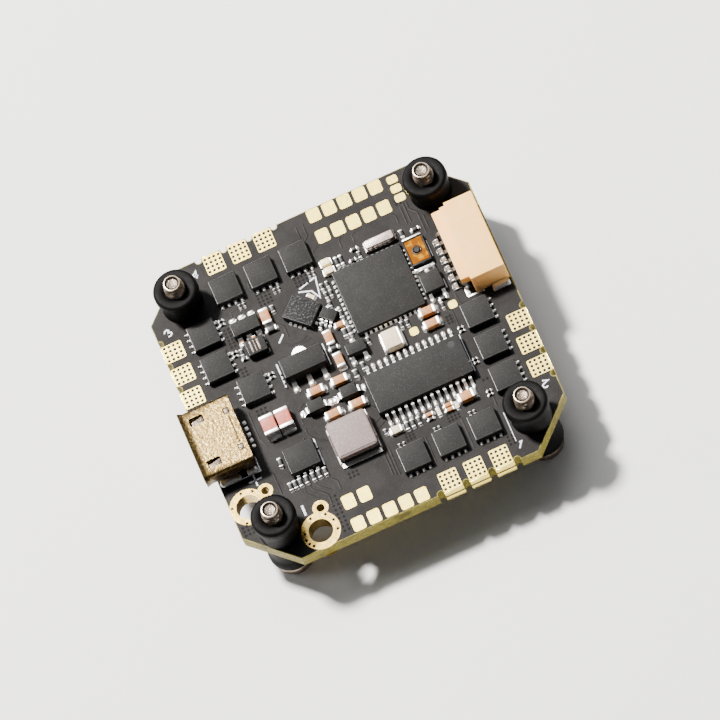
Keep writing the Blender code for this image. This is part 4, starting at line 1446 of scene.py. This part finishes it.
DIGITS = {
    "1": [[(-0.25, 0.45), (0.05, 0.7), (0.05, -0.7)]],
    "2": [[
        (-0.4, 0.4), (-0.2, 0.68), (0.2, 0.68), (0.4, 0.4), (0.32, 0.08), (-0.42, -0.68), (0.45, -0.68),
    ]],
    "3": [[
        (-0.4, 0.5), (-0.1, 0.7), (0.3, 0.6), (0.38, 0.3), (0.05, 0.03),
        (0.42, -0.3), (0.3, -0.62), (-0.1, -0.7), (-0.42, -0.48),
    ]],
    "4": [[(0.25, -0.7), (0.25, 0.7), (-0.45, -0.2), (0.5, -0.2)]],
}
DIGIT_PLACES = [
    # digit, x, y, degrees of turn
    ("4", -10.66, 15.0, -8), ("3", -15.1, 10.6, 30), ("2", 15.1, -10.4, 160), ("1", 10.7, -15.0, -35),
]
INK_LINES = [
    # line width, points
    (0.15, [(-2.2, 9.1), (-0.38, 9.62), (-0.72, 7.45), (-1.22, 8.42), (-2.4, 8.85)]),
    (0.16, [(-5.95, 4.85), (-5.28, 5.52)]),
    (0.14, [(-6.98, 2.95), (-6.98, 0.35)]),
    (0.09, [(-2.3, 2.95), (-2.3, 0.6)]),
    (0.08, [(9.68, -2.1), (9.68, -6.15), (9.45, -6.38)]),
    (0.08, [(10.48, 8.3), (10.48, 6.5)]),
    (0.08, [(10.48, 3.9), (10.48, 2.9)]),
    (0.12, [(-6.58, -5.6), (-6.58, -8.6)]),
    (0.06, [(10.48, -11.3), (10.48, -14.5)]),
    (0.12, [(-16.0, -6.42), (-12.26, -6.42), (-12.26, -4.85)]),
    (0.16, [(-13.7, -7.1), (-12.42, -7.1)]),
    (0.16, [(-13.06, -6.45), (-13.06, -7.7)]),
    (0.22, [(-10.05, -11.45), (-10.05, -12.55)]),
]


def make_ink():
    ink = Shape("ink")
    low, high = TOP + FILM, TOP + FILM + INK
    for width, points in INK_LINES:
        ink.ribbon(points, width, low, high)
    for digit, x, y, turn in DIGIT_PLACES:
        place = at(x, y, 0, turn)
        for stroke in DIGITS[digit]:
            points = [(place @ Vector((px * 0.62, py * 0.52, 0))).to_2d() for px, py in stroke]
            ink.ribbon(points, 0.14, low, high)
    ink.finish("white_markings")
    rim = Shape("laminate")
    rim.ribbon([(16.29, 11.85), (16.29, 0.2)], 0.11, TOP, high)
    rim.finish("bare_rim")


def under_pad(shape, x, y, facing):
    """A pad of a chip on the underside, with its tin."""
    outline = [(-0.04, 0), (-0.04, 0.2), (0.04, 0.2), (0.2, 0.08), (0.3, 0.02), (0.3, 0)]
    place = Matrix.Translation((x, y, TINNED_BELOW)) @ FLIP @ at(0, 0, 0, -facing)
    shape.profile_prism(outline, 0.26, place)


def make_underside():
    """Pads round the motor drive chips and the small parts between them."""
    pads = Shape("tin")
    places = []
    for node in DRIVE_CHIPS:
        for turn in (0, 90, 180, 270):
            lead_row(pads, node, turn, centred(6, FINE_PITCH), under_pad, (), half=2.0)
        _, middle, _ = standing(node)
        sign = 1 if middle.x > 0 else -1
        for index in range(5):
            y = middle.y - 1.9 + 0.95 * index
            places.append((CAPACITOR if index % 2 else RESISTOR, middle.x + sign * 3.3, y, 1.0, 0.5, 0))
            places.append((RESISTOR, middle.x - sign * 3.0, y, 0.8, 0.42, 90))
        for index in range(4):
            places.append((CAPACITOR, middle.x - 1.6 + 1.05 * index, middle.y + 2.95, 1.0, 0.5, 90))
    pads.finish("drive_chip_solder")
    make_passives(places, TINNED_BELOW, "underside_passive", flip=True)


def finish_frame_materials():
    dress("circuit_board", "laminate")
    dress("usb_tongue", "plastic")
    for index in range(6):
        # the contacts take the dark metal, painted shade
        dress(f"socket_contact_{index + 1}", "contact_in_shade")
    dress("socket_anchor_near", "tin")
    dress("socket_anchor_far", "tin")


def main():
    make_mask("mask_top", TOP, 1)
    make_mask("mask_bottom", BOTTOM, -1)
    make_copper_under_mask()
    make_motor_pads()
    make_solder_pads()
    make_battery_rings()
    make_mosfets()
    make_chip_bodies()
    make_leads()
    make_passives(PASSIVES + gate_resistors(), TINNED, "passive")
    make_bulk_capacitors()
    make_chip_inductor()
    make_leds()
    make_crystal()
    make_power_inductor()
    make_oscillator_bands()
    make_usb_socket()
    make_signal_socket()
    make_boot_button()
    make_dampers()
    make_screws()
    make_ink()
    make_underside()
    finish_frame_materials()


MATERIALS = make_materials()
make_camera()
make_studio()
main()
